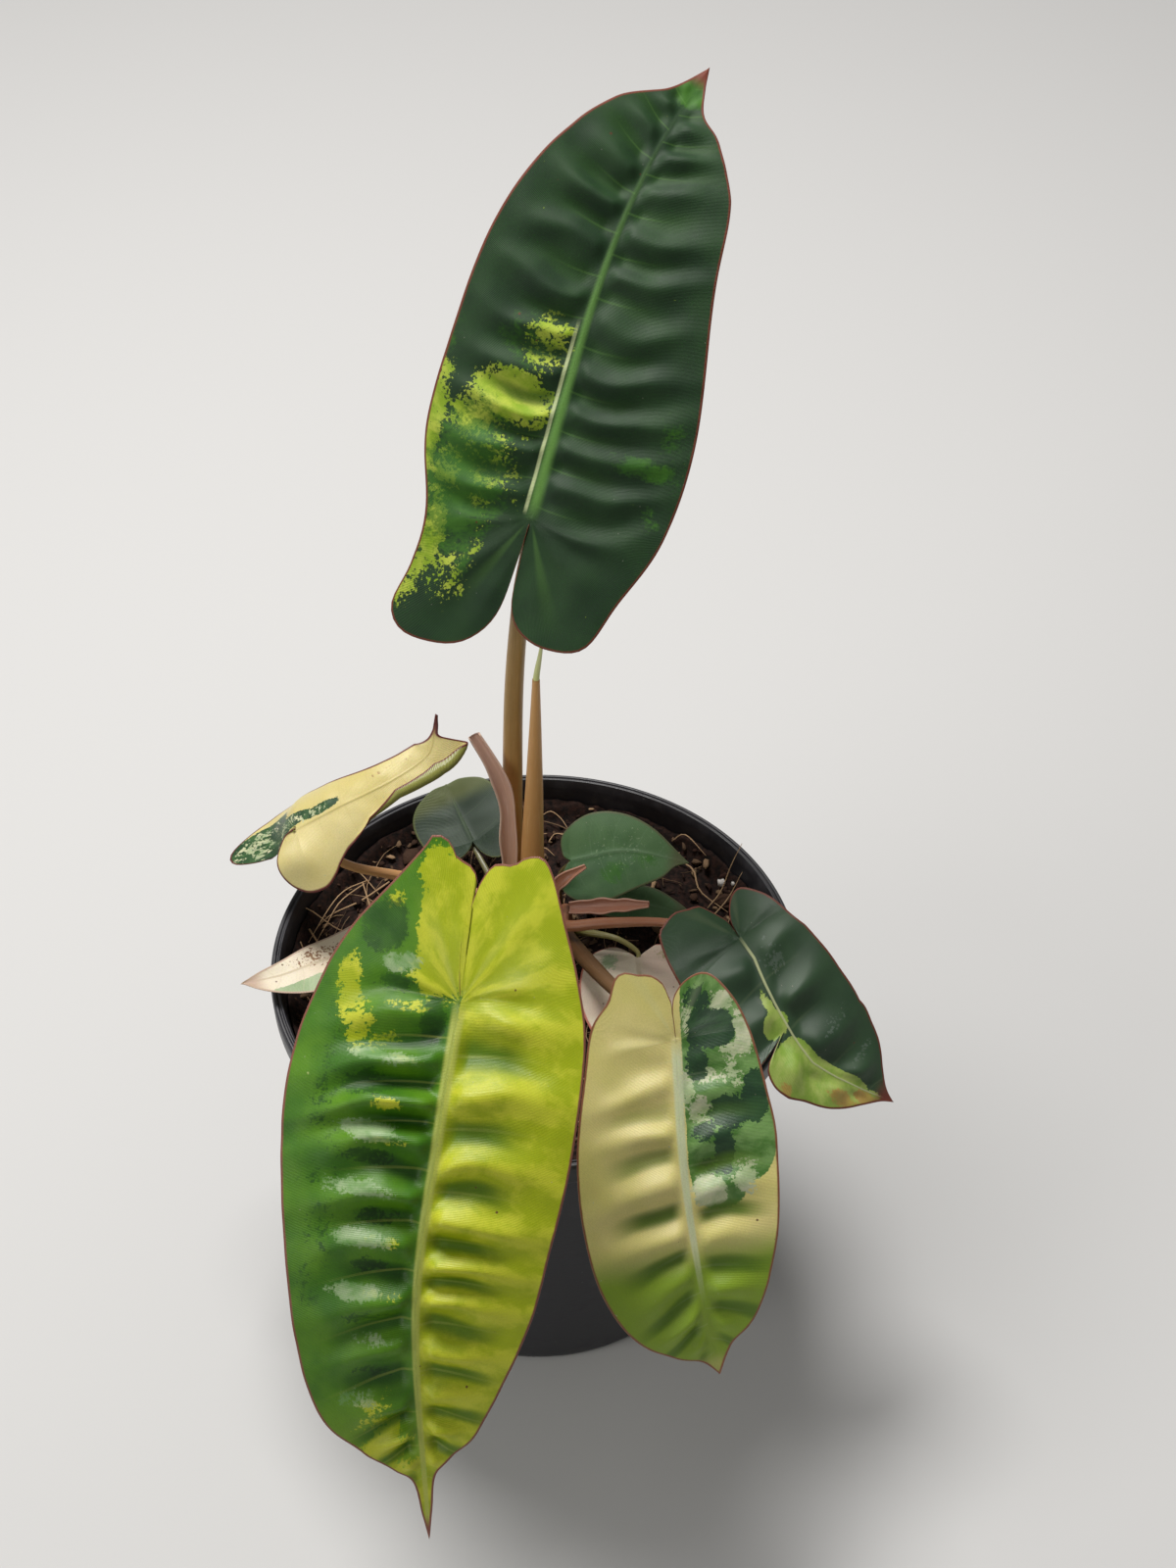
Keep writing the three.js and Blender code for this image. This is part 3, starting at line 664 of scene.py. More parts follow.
def bladeGrids(look, length):
    # both halves as one grid, a row for each side vein, from the left margin over the midrib to the right one
    even = np.linspace(0, 1, look["columns"] + 1)
    shares = 0.55 * even + 0.45 * (0.5 - 0.5 * np.cos(math.pi * even))  # closer at the midrib and the margin
    joined = {}
    for half, (side, margin) in enumerate(((-1, look["left"]), (1, look["right"]))):
        slope = look["slope"][half]
        feet, edge, slack, angle = halfRows(margin, look, length, slope)
        foot = feet[:, None]
        v = edge[:, 1:] * shares
        span = np.hypot(edge[:, 0] - feet, edge[:, 1])[:, None]
        number = veinNumber(feet, look["crests"][half], look["spacing"]) - angle / look["lobeStep"]
        grids = {
            "u": foot + veinReach(foot, v, look, length, slope) + slack[:, None] * shares, "v": v * side,
            "share": shares, "out": shares * span * side, "gone": (1 - shares) * span, "side": float(side),
            "number": number[:, None], "vein": (feet - angle * look["lobeReach"])[:, None],
        }
        for key, values in grids.items():
            values = np.broadcast_to(values, v.shape)
            joined.setdefault(key, []).append(values[:, ::-1] if side < 0 else values[:, 1:])
    return {key: np.hstack(values) for key, values in joined.items()}


def quiltHeight(look, grids, ridge, length):
    # swellings between the side veins, weaker at the midrib, the margin, the tip and in the lobes
    u, v, share = grids["u"], grids["v"], grids["share"]
    seed = look["seed"]
    inLobe = smooth(4, -9, u)
    envelope = smooth(0.6, look["quiltStart"] * (1 + 4.5 * inLobe), np.abs(grids["out"]))
    envelope = envelope * (1 - 0.9 * smooth(*look["quiltEnd"], share))
    envelope = envelope * (1 - (1 - look["lobeRelief"]) * inLobe)
    envelope = envelope * (1 - 0.75 * smooth(17, 3, np.hypot(u, v)) * smooth(9, 2, u))
    perRidge = np.stack([grids["number"] * 3.1, grids["side"] * 9], -1)
    tall = 1 + 0.45 * noiseAt(perRidge, 4, seed + 3) + 0.25 * noiseAt(np.stack([u, v], -1), 18, seed + 4)
    start, end, least = look["reliefGrows"]
    envelope = envelope * (least + (1 - least) * smooth(start, end, u))
    return look["quilt"] * (ridge - 0.5) * envelope * tall * (1 - 0.6 * smooth(0.8, 1, u / length))


def bladeRelief(look, grids, length):
    # the ridges, the distance from the midrib in midrib widths, the lift of the skin and the thickness
    u, v, share = grids["u"], grids["v"], grids["share"]
    flat = np.stack([u, v], -1)
    seed = look["seed"]
    phase = grids["number"] + 0.22 * noiseAt(flat, 15, seed)
    phase = phase + 0.06 * np.sin(2 * math.pi * phase)
    ridge = (0.5 + 0.5 * np.cos(2 * math.pi * phase)) ** look["crest"]
    quilt = quiltHeight(look, grids, ridge, length)
    wave = look["wave"] * noiseAt(np.stack([u, grids["side"] * sideGap], -1), look["waveSize"], seed + 5)
    ripple = 0.25 * look["wave"] * noiseAt(flat, 7, seed + 6)
    ribWidth = np.interp(np.clip(u, 0, length), [0, length], look["ribWidth"])
    ribShare = np.where(u < 0, np.hypot(u, v), np.abs(v)) / (ribWidth / 2)
    trough = -0.55 * np.exp(-((v / 4.2) ** 2))
    channel = (trough + 0.6 * np.exp(-(ribShare**2)) * smooth(1, 0.3, u / length)) * look["channel"]
    away = np.sqrt(v * v + 1.5) - math.sqrt(1.5)
    lift = look["fold"] * away + look["cup"] * v * v + quilt + wave * share * share + ripple
    lift = lift + channel * smooth(-3, 1, u)
    ribDepth = look["ribRadius"] * np.exp(-((v / 1.6) ** 2)) * smooth(-2, 2, u)
    ribDepth = ribDepth * (1 - 0.8 * np.clip(u / length, 0, 1))
    return ridge, ribShare, lift, look["thick"] * (1 - 0.5 * share**6) + ribDepth


def skinFaces(index, tip):
    # faces of the upper skin; the rows that share the notch make triangles there
    rows, width = index.shape
    faces = []
    for r in range(rows - 1):
        a, b = index[r].tolist(), index[r + 1].tolist()
        for c in range(width - 1):
            corners = (a[c], a[c + 1], b[c + 1], b[c])
            face = tuple(corners[k] for k in range(4) if corners[k] != corners[k - 1])
            if len(face) > 2:
                faces.append(face)
    last = index[-1].tolist()
    return faces + [(last[c], last[c + 1], tip) for c in range(width - 1)]


def bladeMesh(name, given):
    look = {**bladeDefaults, **given}
    place, length = bladeSpace(look)
    columns = look["columns"]
    grids = bladeGrids(look, length)
    ridge, ribShare, lift, thickness = bladeRelief(look, grids, length)
    flatU, flatV = grids["u"], grids["v"]
    along, shift = np.array(look["ribShift"], float).T
    u, v = flatU, flatV + np.interp(flatU, along * length, shift)
    if look["bend"]:
        u, v, lift = look["bend"](u, v, lift)

    skin = place(u, v, lift)
    inwards = place(u, v, lift - 1) - skin
    if look["curled"]:  # a rolled blade keeps its thickness square to its own surface
        square = np.cross(np.gradient(skin, axis=1), np.gradient(skin, axis=0))
        size = np.linalg.norm(square, axis=2, keepdims=True)
        square = square / np.maximum(size, 1e-9)
        square = square * np.sign((square * inwards).sum(2)[-1, columns])
        inwards = np.where(size > 1e-4, square, inwards)
    tipPlace = (np.array([length + 0.1]), np.zeros(1))
    tipLift = lift[-1, columns] * np.ones(1)
    vertices = np.vstack([
        skin.reshape(-1, 3), place(*tipPlace, tipLift),
        (skin + inwards * thickness[..., None]).reshape(-1, 3),
        place(*tipPlace, tipLift - look["thick"] * 0.4),
    ])

    tip = u.size
    under = tip + 1
    index = np.arange(tip).reshape(u.shape)
    lobeRows = look["lobeRows"]
    index[:lobeRows, columns] = index[lobeRows, columns]  # every lobe row starts at the notch
    faces = skinFaces(index, tip)
    faces += [tuple(i + under for i in face[::-1]) for face in faces]

    # a rounded rim between the two skins, once round
    boundary = [*index[::-1, 0].tolist(), *index[0, 1:].tolist(), *index[1:, -1].tolist(), tip]
    above = vertices[boundary]
    below = vertices[[i + under for i in boundary]]
    outward = np.cross(np.roll(above, 1, 0) - np.roll(above, -1, 0), above - below)
    outward = outward / np.maximum(np.linalg.norm(outward, axis=1, keepdims=True), 1e-9)
    rim = len(vertices)
    vertices = np.vstack([vertices, (above + below) / 2 - outward * 0.14])
    for k, a in enumerate(boundary):
        after = (k + 1) % len(boundary)
        b = boundary[after]
        faces.append((a, rim + k, rim + after, b))
        faces.append((rim + k, a + under, b + under, rim + after))

    used = np.zeros(len(vertices), bool)
    used[[i for face in faces for i in face]] = True
    fields = {
        "leafFlat": (flatU, flatV, 0 * flatU),  # the third number is 1 on the underside
        "leafVein": (grids["vein"] + grids["side"] * sideGap, grids["out"], grids["gone"]),
        "leafPaint": [patchField(flatU, flatV, blobs) for blobs in look["patches"]],
        "leafShape": (ridge, ribShare, grids["number"]),
    }
    made = {}
    for field, values in fields.items():
        values = np.stack(values, -1).reshape(-1, 3)
        atTip = values[index[-1, columns]].copy()
        if field == "leafFlat":
            atTip[:] = length, 0, 0
        if field == "leafVein":
            atTip[2] = 0
        values = np.vstack([values, atTip])
        both = np.vstack([values, values + [0, 0, 1] if field == "leafFlat" else values])
        made[field] = np.vstack([both, both[boundary]])[used]
    fresh = (np.cumsum(used) - 1).tolist()
    return addMesh(name, vertices[used], [tuple(fresh[i] for i in face) for face in faces], made)


patchEdge = 0.46  # a patch shows where its field, roughened by noise, is over this
dotBrown = (0.1, 0.025, 0.012)
skinTone = (0.55, 0.6, 0.5)


def paintPatches(finish, shade, field, mottle, fineMottle, grain, ridge, paint):
    level = field + (mottle - 0.5) * paint["mottle"] + (fineMottle - 0.5) * paint.get("fine", 0.5)
    # a positive ridge share spreads a patch onto the crests, a negative one into the valleys: painted crest
    # light and painted valley shade
    if "ridge" in paint:
        level = level + (ridge - 0.5) * paint["ridge"]
    mask = finish.window(level, patchEdge, patchEdge + paint.get("soft", 0.06))
    toneLevel = finish.noise(grain, 5, 4, 0.6, 0.3)
    # a crest share lightens the tone on the crests: painted crest highlight
    if "crest" in paint:
        toneLevel = toneLevel + (ridge - 0.6) * paint["crest"]
    tone = finish.mix(finish.window(toneLevel, 0.36, 0.64), *paint["colours"])
    return finish.mix(mask * paint.get("amount", 1.0), shade, tone)


def paintVeins(finish, shade, look, u, out, vein, ribShare, number):
    # pale threads in the valleys, the vein of each lobe, and the midrib
    farOut = abs(out)
    thread = finish.window(abs(finish.sums("FRACT", number) - 0.5), 0.035, 0.012)
    threadOut = finish.window(farOut, look.get("threadReach", 16), 2) * finish.window(u, -6, 6)
    for side in (-1, 1):
        beside = abs(vein - (side * sideGap - bladeDefaults["lobeReach"] * 1.1))
        lobeVein = finish.window(beside, 3.4, 0.4) * finish.window(u, -1, -5) * finish.window(farOut, 34, 6)
        shade = finish.mix(lobeVein * look.get("lobeVein", 0.2), shade, look["ribColour"])
    shade = finish.mix(thread * threadOut * look.get("threads", 0.3), shade, look["ribColour"])
    rib = finish.window(ribShare, *look.get("ribSoft", (1.3, 0.6))) * finish.window(u, -2.5, 6)
    if "ribEnd" in look:
        rib = rib * finish.window(u, *look["ribEnd"][::-1])
    return finish.mix(rib * look.get("ribAmount", 0.9), shade, look["ribColour"])


def leafFinish(name, look, length):
    finish = Finish(name, Roughness=0.4, Specular_IOR_Level=look.get("gloss", 0.42),
                    Subsurface_Weight=look.get("glow", 0.08), Subsurface_Radius=(0.6, 1.0, 0.25),
                    Subsurface_Scale=0.0012)
    u, v, side = finish.parts("leafFlat")
    vein, out, gone = finish.parts("leafVein")
    ridge, ribShare, number = finish.parts("leafShape")
    flat = finish.place(u, v)
    grain = finish.place(vein, out * 0.6)

    shade = finish.mix(finish.window(finish.noise(flat, 16, 3, 0.5), 0.35, 0.65), *look["base"])
    if "lower" in look:
        colour, reach = look["lower"]
        shade = finish.mix(finish.window(u, *reach), shade, colour)
    mottle = finish.noise(grain, look.get("mottleSize", 3.4), 7, 0.72, 0.25)
    fineMottle = finish.noise(flat, 0.9, 2, 0.6)
    for field, paint in zip(finish.parts("leafPaint"), look["paints"]):
        if paint:
            shade = paintPatches(finish, shade, field, mottle, fineMottle, grain, ridge, paint)
        mottle = 1.0 - mottle

    # where the quilting's ridge is low a colour is mixed or multiplied in: painted shade in the valleys, and
    # on the cream leaf also the real green of the tissue there
    if "valleyShadeAndTint" in look:
        colour, amount, reach = look["valleyShadeAndTint"]
        low = finish.window(ridge, 0.36, 0.02) * amount * finish.window(abs(out), 24, 12)
        low = low * finish.window(abs(out), 0.5, 5) * finish.window(u, -2, 8)
        if reach:
            low = low * finish.window(u, *reach)
        shade = finish.mix(low, shade, colour, look.get("valleyShadeBlend", "MIX"))
    shade = paintVeins(finish, shade, look, u, out, vein, ribShare, number)
    if "line" in look:
        middle, halfWidth, end, colour = look["line"]
        line = finish.window(abs(v - middle), halfWidth, halfWidth * 0.4) * finish.window(u, end, end - 9)
        shade = finish.mix(line * finish.window(u, 0, 3) * 0.85, shade, colour)

    # brown dots, dust, tip, underside and margin
    dots = finish.spots(flat, look.get("dotSpacing", 5.5), 0.42, look.get("dots", 0.2))
    shade = finish.mix(dots * 0.85, shade, dotBrown)
    dust = finish.spots(flat, 2.1, 0.17, look.get("dust", 0.12))
    shade = finish.mix(dust * 0.5, shade, look.get("dotTone", (0.4, 0.36, 0.28)))
    shade = finish.mix(finish.window(u, length - 8, length - 3), shade, look.get("tip", look["edge"]))
    shade = finish.mix(side, shade, finish.mix(look.get("underAmount", 0.5), shade, look["under"]))
    ragged = gone + finish.noise(flat, 3) * 0.3
    shade = finish.mix(finish.window(ragged, look.get("edgeWidth", 0.8), 0.4), shade, look["edge"])

    # skin: fine veins and cells
    wave = {"Vector": grain, "Scale": 0.9, "Distortion": 1.6, "Detail": 2.0, "Detail Scale": 1.2}
    fineVeins = Amount(finish, finish.add("ShaderNodeTexWave", wave).outputs["Fac"])
    cells = finish.noise(flat, 0.45, 2, 0.6)
    skinShade = fineVeins * 0.16 + finish.window(cells, 0.35, 0.7) * 0.2
    finish.colour(finish.mix(skinShade, shade, skinTone, "MULTIPLY"))
    finish.rough(finish.noise(flat, 6, 4, 0.6) * 0.22 + look.get("rough", 0.28))
    finish.bump(fineVeins * 0.5 + cells * 0.4, 0.45, 0.16)
    return finish.material


def makeLeaf(name, shape, paint, slotName, node):
    leaf = bladeMesh(name, shape)
    handOver(leaf, leafFinish(name + "Skin", paint, bladeSpace(shape)[1]), slotName, node)
    print(name, "made")


redEdge = (0.16, 0.035, 0.02)

topLeaf = {
    "rib": [[0, 40, 248], [17, 77, 293], [31, 102, 316], [47, 128, 329]],
    "facing": [[-0.05, -0.72, 0.69], [0.05, -0.66, 0.75]], "fold": 0.15,
    "left": [[-12, 0.4], [-26, 1.6], [-34, 6], [-38, 13], [-38, 24], [-32, 29], [-20, 27], [-6, 27],
             [16, 33],
             [43, 33], [70, 31], [92, 25], [109, 16], [119, 6]],
    "right": [[-12, 0.4], [-24, 1.6], [-30, 6], [-32, 14], [-29, 23], [-16, 28], [4, 35], [32, 36],
              [72, 29],
              [96, 24], [111, 14], [117, 6], [124, 2.4]],
    "rows": 160, "lobeRows": 42, "columns": 42, "spacing": 11.5, "quilt": 2.5, "seed": 2,
    "slope": (-0.2, -0.16),
    "sweep": 0.009, "crests": ([5, 16, 27, 37, 48, 59, 71, 83, 94, 104],
                               [9, 19, 29, 40, 53, 66, 77, 89, 100]),
    "ribWidth": (3.4, 0.5), "quiltEnd": (0.4, 1.0), "channel": 0.65, "lobeRelief": 0.4,
    "patches": ([(47, -8, 9, 9, 0.62), (40, -9, 8, 8, 0.6), (29, -14, 10, 14, 1.1), (22, -22, 9, 9, 0.85),
                 (28, -5, 9, 5, 0.7), (20, -32, 20, 5, 0.85), (5, -25, 13, 8, 0.6), (-12, -24, 15, 5, 0.9),
                 (-25, -28, 11, 6, 0.75), (-20, -17, 12, 9, 0.5), (12, -14, 22, 14, 0.46),
                 (10, -31, 26, 3, 1.0),
                 (-12, -12, 12, 3, 0.46)],
                [(20, 25, 5, 15, 0.85), (30, 30, 12, 7, 0.6), (8, 30, 8, 6, 0.55), (42, -35, 14, 7, 0.7),
                 (122, 0, 8, 7, 1.2),
                 (5, -20, 32, 18, 0.95), (44, -14, 14, 14, 0.6), (-14, -14, 14, 4, 0.7)],
                []),
}
topPaint = {
    "base": ((0.011, 0.036, 0.012), (0.017, 0.052, 0.015)), "ribColour": (0.13, 0.29, 0.055),
    "edge": redEdge,
    "lobeVein": 0.25, "under": (0.09, 0.16, 0.07), "threads": 0.2, "dotTone": (0.3, 0.3, 0.26),
    "rough": 0.46,
    "gloss": 0.28, "line": (-2.0, 0.65, 54, (0.6, 0.68, 0.36)), "ribEnd": (30, 120),
    # valleys painted a deeper green: painted shade against the sheen of the crests
    "ribSoft": (1.5, 0.1), "valleyShadeAndTint": ((0.016, 0.06, 0.007), 0.6, None),
    "paints": ({"colours": ((0.24, 0.37, 0.016), (0.44, 0.52, 0.06)), "mottle": 1.8, "fine": 1.1,
                "soft": 0.12},
               {"colours": ((0.03, 0.12, 0.008), (0.05, 0.17, 0.01)), "mottle": 1.3, "soft": 0.35,
                "amount": 0.8}),
}
makeLeaf("topLeaf", topLeaf, topPaint, "dark_leaf", "top_leaf_blade")

frontLeaf = {
    "rib": [[-17, -74, 186], [-22, -100, 167], [-28, -129, 130], [-26, -155, 69]],
    "facing": [[-0.02, -0.55, 0.83], [0, -0.85, 0.5]], "fold": 0.12, "cup": -0.005,
    "left": [[-9, -1.0], [-19, -1.7], [-26, -0.7], [-31.6, 0.8], [-35.6, 3.4], [-36, 7.8], [-38.4, 10.9],
             [-38.8, 15], [-34.5, 18.2], [-24, 22.6], [-10, 28.2], [6, 32.5], [30, 33.5], [56, 32],
             [83, 28],
             [112, 15.4], [121, 7.5], [127, 2.8], [137, 1.3]],
    "right": [[-9, 1.5], [-19, 2.2], [-26, 1.4], [-31, 0.6], [-34.5, 3], [-36, 6.6], [-39.6, 9],
              [-40.8, 13],
              [-37.3, 15], [-27.3, 21.6], [-15.5, 29.7], [-3, 35], [15, 39], [38, 39], [70, 33], [105, 26],
              [119, 14], [124.5, 7], [129, 2.8], [139, 1.3]],
    "rows": 170, "lobeRows": 46, "columns": 44, "spacing": 12.7, "quilt": 4.6, "seed": 4,
    "slope": (-0.22, 0.0),
    "sweep": 0.006, "crests": ([4, 23, 41, 54.5, 65.5, 75.5, 89, 101.5],
                               [3, 15, 26, 35, 49.5, 61.5, 74, 87, 102]),
    "ribWidth": (3.4, 1.0), "quiltEnd": (0.25, 0.9),
    # on the half with v over 0 the narrow lime blobs of this first list sit on the crests of the quilting, as
    # painted sheen on lit crests; the broad patches are the leaf's own variegation
    "patches": ([(50, -25, 100, 25.2, 4.0, 8), (-30, -15, 30, 15.2, 3.0, 8), (-19, 5, 22, 9.5, 1.4, 3),
                 (-32, 10, 10, 7, 1.2), (0, 28, 13, 5, 0.85), (9, 24, 9, 6, 0.75), (12, 18, 5, 8, 0.6),
                 (2.4, 13, 2.8, 7, 0.66), (27.5, 14, 2.6, 6, 0.75), (16, 12, 2, 7, 0.55),
                 (36, 13, 3, 9, 0.5),
                 (61, 9, 2.4, 8, 0.55), (74, 9, 2.4, 8, 0.55), (135, 4, 20, 10, 1.0), (117, 9, 16, 10, 0.8),
                 (103, 12, 5, 9, 0.5), (-23, 19, 4, 4, 0.6), (-6, 12, 5, 6, 0.55)],
                # the narrow dark green blobs from u 56 to 95 lie between the crests: painted valley shade;
                # the others are the leaf's own darker green
                [(-17, 21.5, 11, 8, 1.0), (5, 6, 9, 5, 0.95), (-3, 17, 4, 8, 0.75), (23, 20, 6, 12, 0.75),
                 (41, 18, 4, 14, 0.7), (30, 30, 46, 7, 0.5), (66, 26, 34, 9, 0.5), (56, 12, 4, 10, 0.6),
                 (67, 13, 4, 10, 0.65), (80, 13, 5, 11, 0.6), (95, 11, 4, 9, 0.6)],
                # most of these pale sage blobs lie along the crests of the v over 0 half: painted sheen on
                # the lit crests
                [(-8, 16, 4, 7, 1.0), (16, 16, 3, 13, 0.9), (34.5, 17, 3.6, 12, 1.1),
                 (49, 17, 3.4, 14, 0.9),
                 (61, 15, 3, 11, 1.1), (74, 15, 3.2, 10, 1.1), (86, 11, 2.4, 9, 0.75),
                 (102, 15, 4, 9, 0.7)]),
}
frontPaint = {
    "base": ((0.04, 0.15, 0.004), (0.095, 0.24, 0.007)), "ribColour": (0.46, 0.5, 0.1),
    "edge": (0.22, 0.07, 0.05),
    "under": (0.35, 0.42, 0.16), "threads": 0.25, "threadReach": 30,
    # valleys multiplied darker: painted valley shade
    "valleyShadeAndTint": ((0.14, 0.33, 0.08), 0.85, None),
    "valleyShadeBlend": "MULTIPLY", "gloss": 0.34, "lower": ((0.26, 0.42, 0.02), (96, 132)), "ribAmount": 0.8,
    "lobeVein": 0.4,
    # lime paint: its ridge and crest shares spread it onto the crests and lighten it there, painted crest
    # highlight
    "paints": ({"colours": ((0.35, 0.42, 0.006), (0.52, 0.55, 0.03)), "mottle": 1.7, "fine": 0.9,
                "soft": 0.16,
                "ridge": 0.1, "crest": 0.22},
               # dark green paint: its negative ridge share pulls it into the valleys, painted valley shade
               {"colours": ((0.012, 0.065, 0.003), (0.026, 0.1, 0.005)), "mottle": 1.3, "fine": 0.6,
                "amount": 0.85,
                "soft": 0.2, "ridge": -0.1},
               # pale sage paint: painted sheen on the lit crests
               {"colours": ((0.14, 0.29, 0.08), (0.34, 0.45, 0.25)), "mottle": 2.1, "fine": 1.1,
                "amount": 0.8,
                "soft": 0.3}),
}
makeLeaf("frontLeaf", frontLeaf, frontPaint, "lime_leaf", "front_leaf_blade")

creamLeaf = {
    "rib": [[38, -56, 150], [40, -82, 128], [45, -102, 102], [50, -111, 78]],
    "facing": [[0, -0.55, 0.83], [0.05, -0.8, 0.6]], "fold": 0.12, "cup": -0.006,
    "left": [[-4.5, -0.2], [-8.3, -0.4], [-12.1, 0.4], [-15.4, 3], [-17.4, 6.7], [-17, 10], [-13.5, 13.6],
             [-7.8, 17.2], [0, 20], [13, 23], [28, 25], [53, 22.5], [75, 14], [84, 5]],
    "right": [[-4.5, 0.7], [-9.6, 0.7], [-12.3, 1.6], [-15.4, 2.9], [-17.6, 6], [-17.8, 9.2], [-18.6, 12.5],
              [-17, 15.2], [-11.1, 17.3], [-4, 22.1], [9.8, 24.6], [28, 27.4], [46, 28], [63, 26], [76, 20],
              [84, 11], [88, 4]],
    "rows": 120, "lobeRows": 30, "columns": 34, "spacing": 12, "quilt": 2.6, "reliefGrows": (2, 38, 0.4),
    "seed": 6, "slope": (-0.2, 0.12),
    "crests": ([4, 15, 27, 39, 53, 67], [-1, 11, 23, 35, 48, 62]), "ribWidth": (2.9, 0.9),
    "patches": ([(6, -13.5, 34, 12.7, 3.0, 4), (30, -9, 17, 8.6, 1.6, 3), (-12, -8, 7, 7, 1.6)],
                [(-10, -12, 4, 5, 0.9), (-1, -17, 9, 4, 0.9), (4, -14, 7, 4, 0.7), (9, -7, 4, 5, 0.85),
                 (12, -2, 8, 3, 0.8), (18, -5.5, 5, 5, 0.8), (40, -6, 6, 6, 1.2), (37, -16, 7, 5, 0.8),
                 (-6, -3, 8, 2, 0.7), (10, -14, 5, 5, 0.6)],
                [(-3, -9, 6, 7, 1.4, 3), (6, -5, 6, 4, 1.0), (15, -20, 9, 4.4, 1.3), (19, -13, 6, 7, 1.2),
                 (29, -11, 9, 3.4, 1.1), (-11, -6, 5, 5, 0.8), (24, -6, 4, 5, 0.7), (33, -7, 4, 4, 0.7)]),
}
creamPaint = {
    # valleys going olive green towards the tip: partly the real green tissue there, partly painted valley
    # shade
    "base": ((0.76, 0.66, 0.27), (0.7, 0.62, 0.22)), "valleyShadeAndTint": ((0.09, 0.18, 0.006), 0.92, (2, 46)),
    "lower": ((0.24, 0.36, 0.022), (50, 62)), "glow": 0.2, "lobeVein": 0.15, "ribEnd": (48, 72),
    "ribColour": (0.64, 0.7, 0.46), "edge": (0.26, 0.09, 0.05), "under": (0.6, 0.55, 0.32), "threads": 0.08,
    "tip": (0.44, 0.46, 0.12),
    "dots": 0.06,
    "paints": ({"colours": ((0.07, 0.19, 0.03), (0.2, 0.36, 0.11)), "mottle": 0.5, "fine": 0.4,
                "soft": 0.06},
               {"colours": ((0.36, 0.46, 0.24), (0.62, 0.64, 0.44)), "mottle": 1.9, "fine": 1.1,
                "soft": 0.1},
               {"colours": ((0.014, 0.05, 0.02), (0.03, 0.09, 0.03)), "mottle": 1.7, "fine": 1.1,
                "soft": 0.05}),
}
makeLeaf("creamLeaf", creamLeaf, creamPaint, "cream_leaf", "cream_leaf_blade")


def tornLift(u, v, lift):
    # the piece below the tear stands a little proud of the piece above it
    below = smooth(26, 29, u) * smooth(44, 34, u) * smooth(8, 14, v)
    return u, v, lift + 1.6 * below


darkLeaf = {
    "rib": [[56.8, -13.7, 143.3], [66.6, -24.9, 135.3], [78, -33.5, 125.2], [89.1, -37.6, 115.1],
            [99.7, -39.9, 105.1]],
    "facing": [[0.1, -0.45, 0.88], [0.3, -0.5, 0.8]],
    "ribShift": [(0, 0), (0.1, 0), (0.3, 3), (0.45, 5), (0.58, 6.4), (0.7, 5), (0.85, 2.6), (1, 0)],
    "left": [[-2.4, 0.2], [-5.6, 0.8], [-9.1, 3], [-11.4, 5.7], [-11.5, 8.8], [-7.6, 12.4], [-3.6, 14.4],
             [3.5, 16.2], [10, 18.6], [17.3, 20.8], [24, 22], [31, 22.8], [39.9, 22], [46.5, 18.2],
             [51.3, 14],
             [56.3, 8], [60.6, 3]],
    "right": [[-2.2, 0.4], [-5.6, 0.2], [-8.3, 1.2], [-11.6, 3], [-14, 4.6], [-15, 8], [-16.1, 11.3],
              [-15, 15.5], [-13, 18.6], [-5.1, 20.9], [4, 21.8], [12, 21], [20, 19.4], [26, 17],
              [28.4, 14.4],
              [27.8, 9], [27, 2.6], [27.6, 5.4], [28.6, 9], [30.4, 12.6], [34, 13.8], [37.5, 12.8],
              [41.5, 10.8],
              [48.1, 9.2], [51.8, 7.4], [56.3, 4.2], [61.1, 1.2]],
    "rows": 110, "lobeRows": 28, "columns": 30, "spacing": 14, "quilt": 2.2, "seed": 8, "bend": tornLift,
    "crests": ([6, 20, 35, 50], [6, 20, 34, 48]), "ribWidth": (0.9, 0.3), "channel": 0.5,
    "slope": (-0.1, 0.1),
    "patches": ([(20, 2, 8, 2.2, 0.75), (24, 3, 4.4, 5.6, 1.3), (43, 6, 15.5, 9, 2.2, 4),
                 (56, 2, 9, 4, 0.9)],
                [(50, 5, 8, 4, 0.85), (56, 2, 6, 3, 0.9), (36, 12, 3, 3, 0.7)],
                [(10, -5, 9, 5, 0.5), (35, -12, 3, 9, 0.5), (48, -9, 2, 8, 0.5)]),
}
darkPaint = {
    "base": ((0.022, 0.055, 0.025), (0.032, 0.074, 0.032)), "ribColour": (0.55, 0.58, 0.32),
    "edge": redEdge,
    "lobeVein": 0.06, "under": (0.1, 0.17, 0.08), "threads": 0.05, "dots": 0.25, "rough": 0.33, "dust": 0.2,
    "paints": ({"colours": ((0.25, 0.4, 0.05), (0.4, 0.5, 0.12)), "mottle": 1.2, "fine": 0.6},
               {"colours": ((0.55, 0.36, 0.09), (0.45, 0.22, 0.06)), "mottle": 1.2, "fine": 0.6,
                "amount": 0.75,
                "soft": 0.2},
               {"colours": ((0.16, 0.2, 0.17), (0.1, 0.14, 0.11)), "mottle": 1.6, "fine": 1.2,
                "amount": 0.5}),
}
makeLeaf("darkLeaf", darkLeaf, darkPaint, "dark_leaf", "dark_leaf_blade")


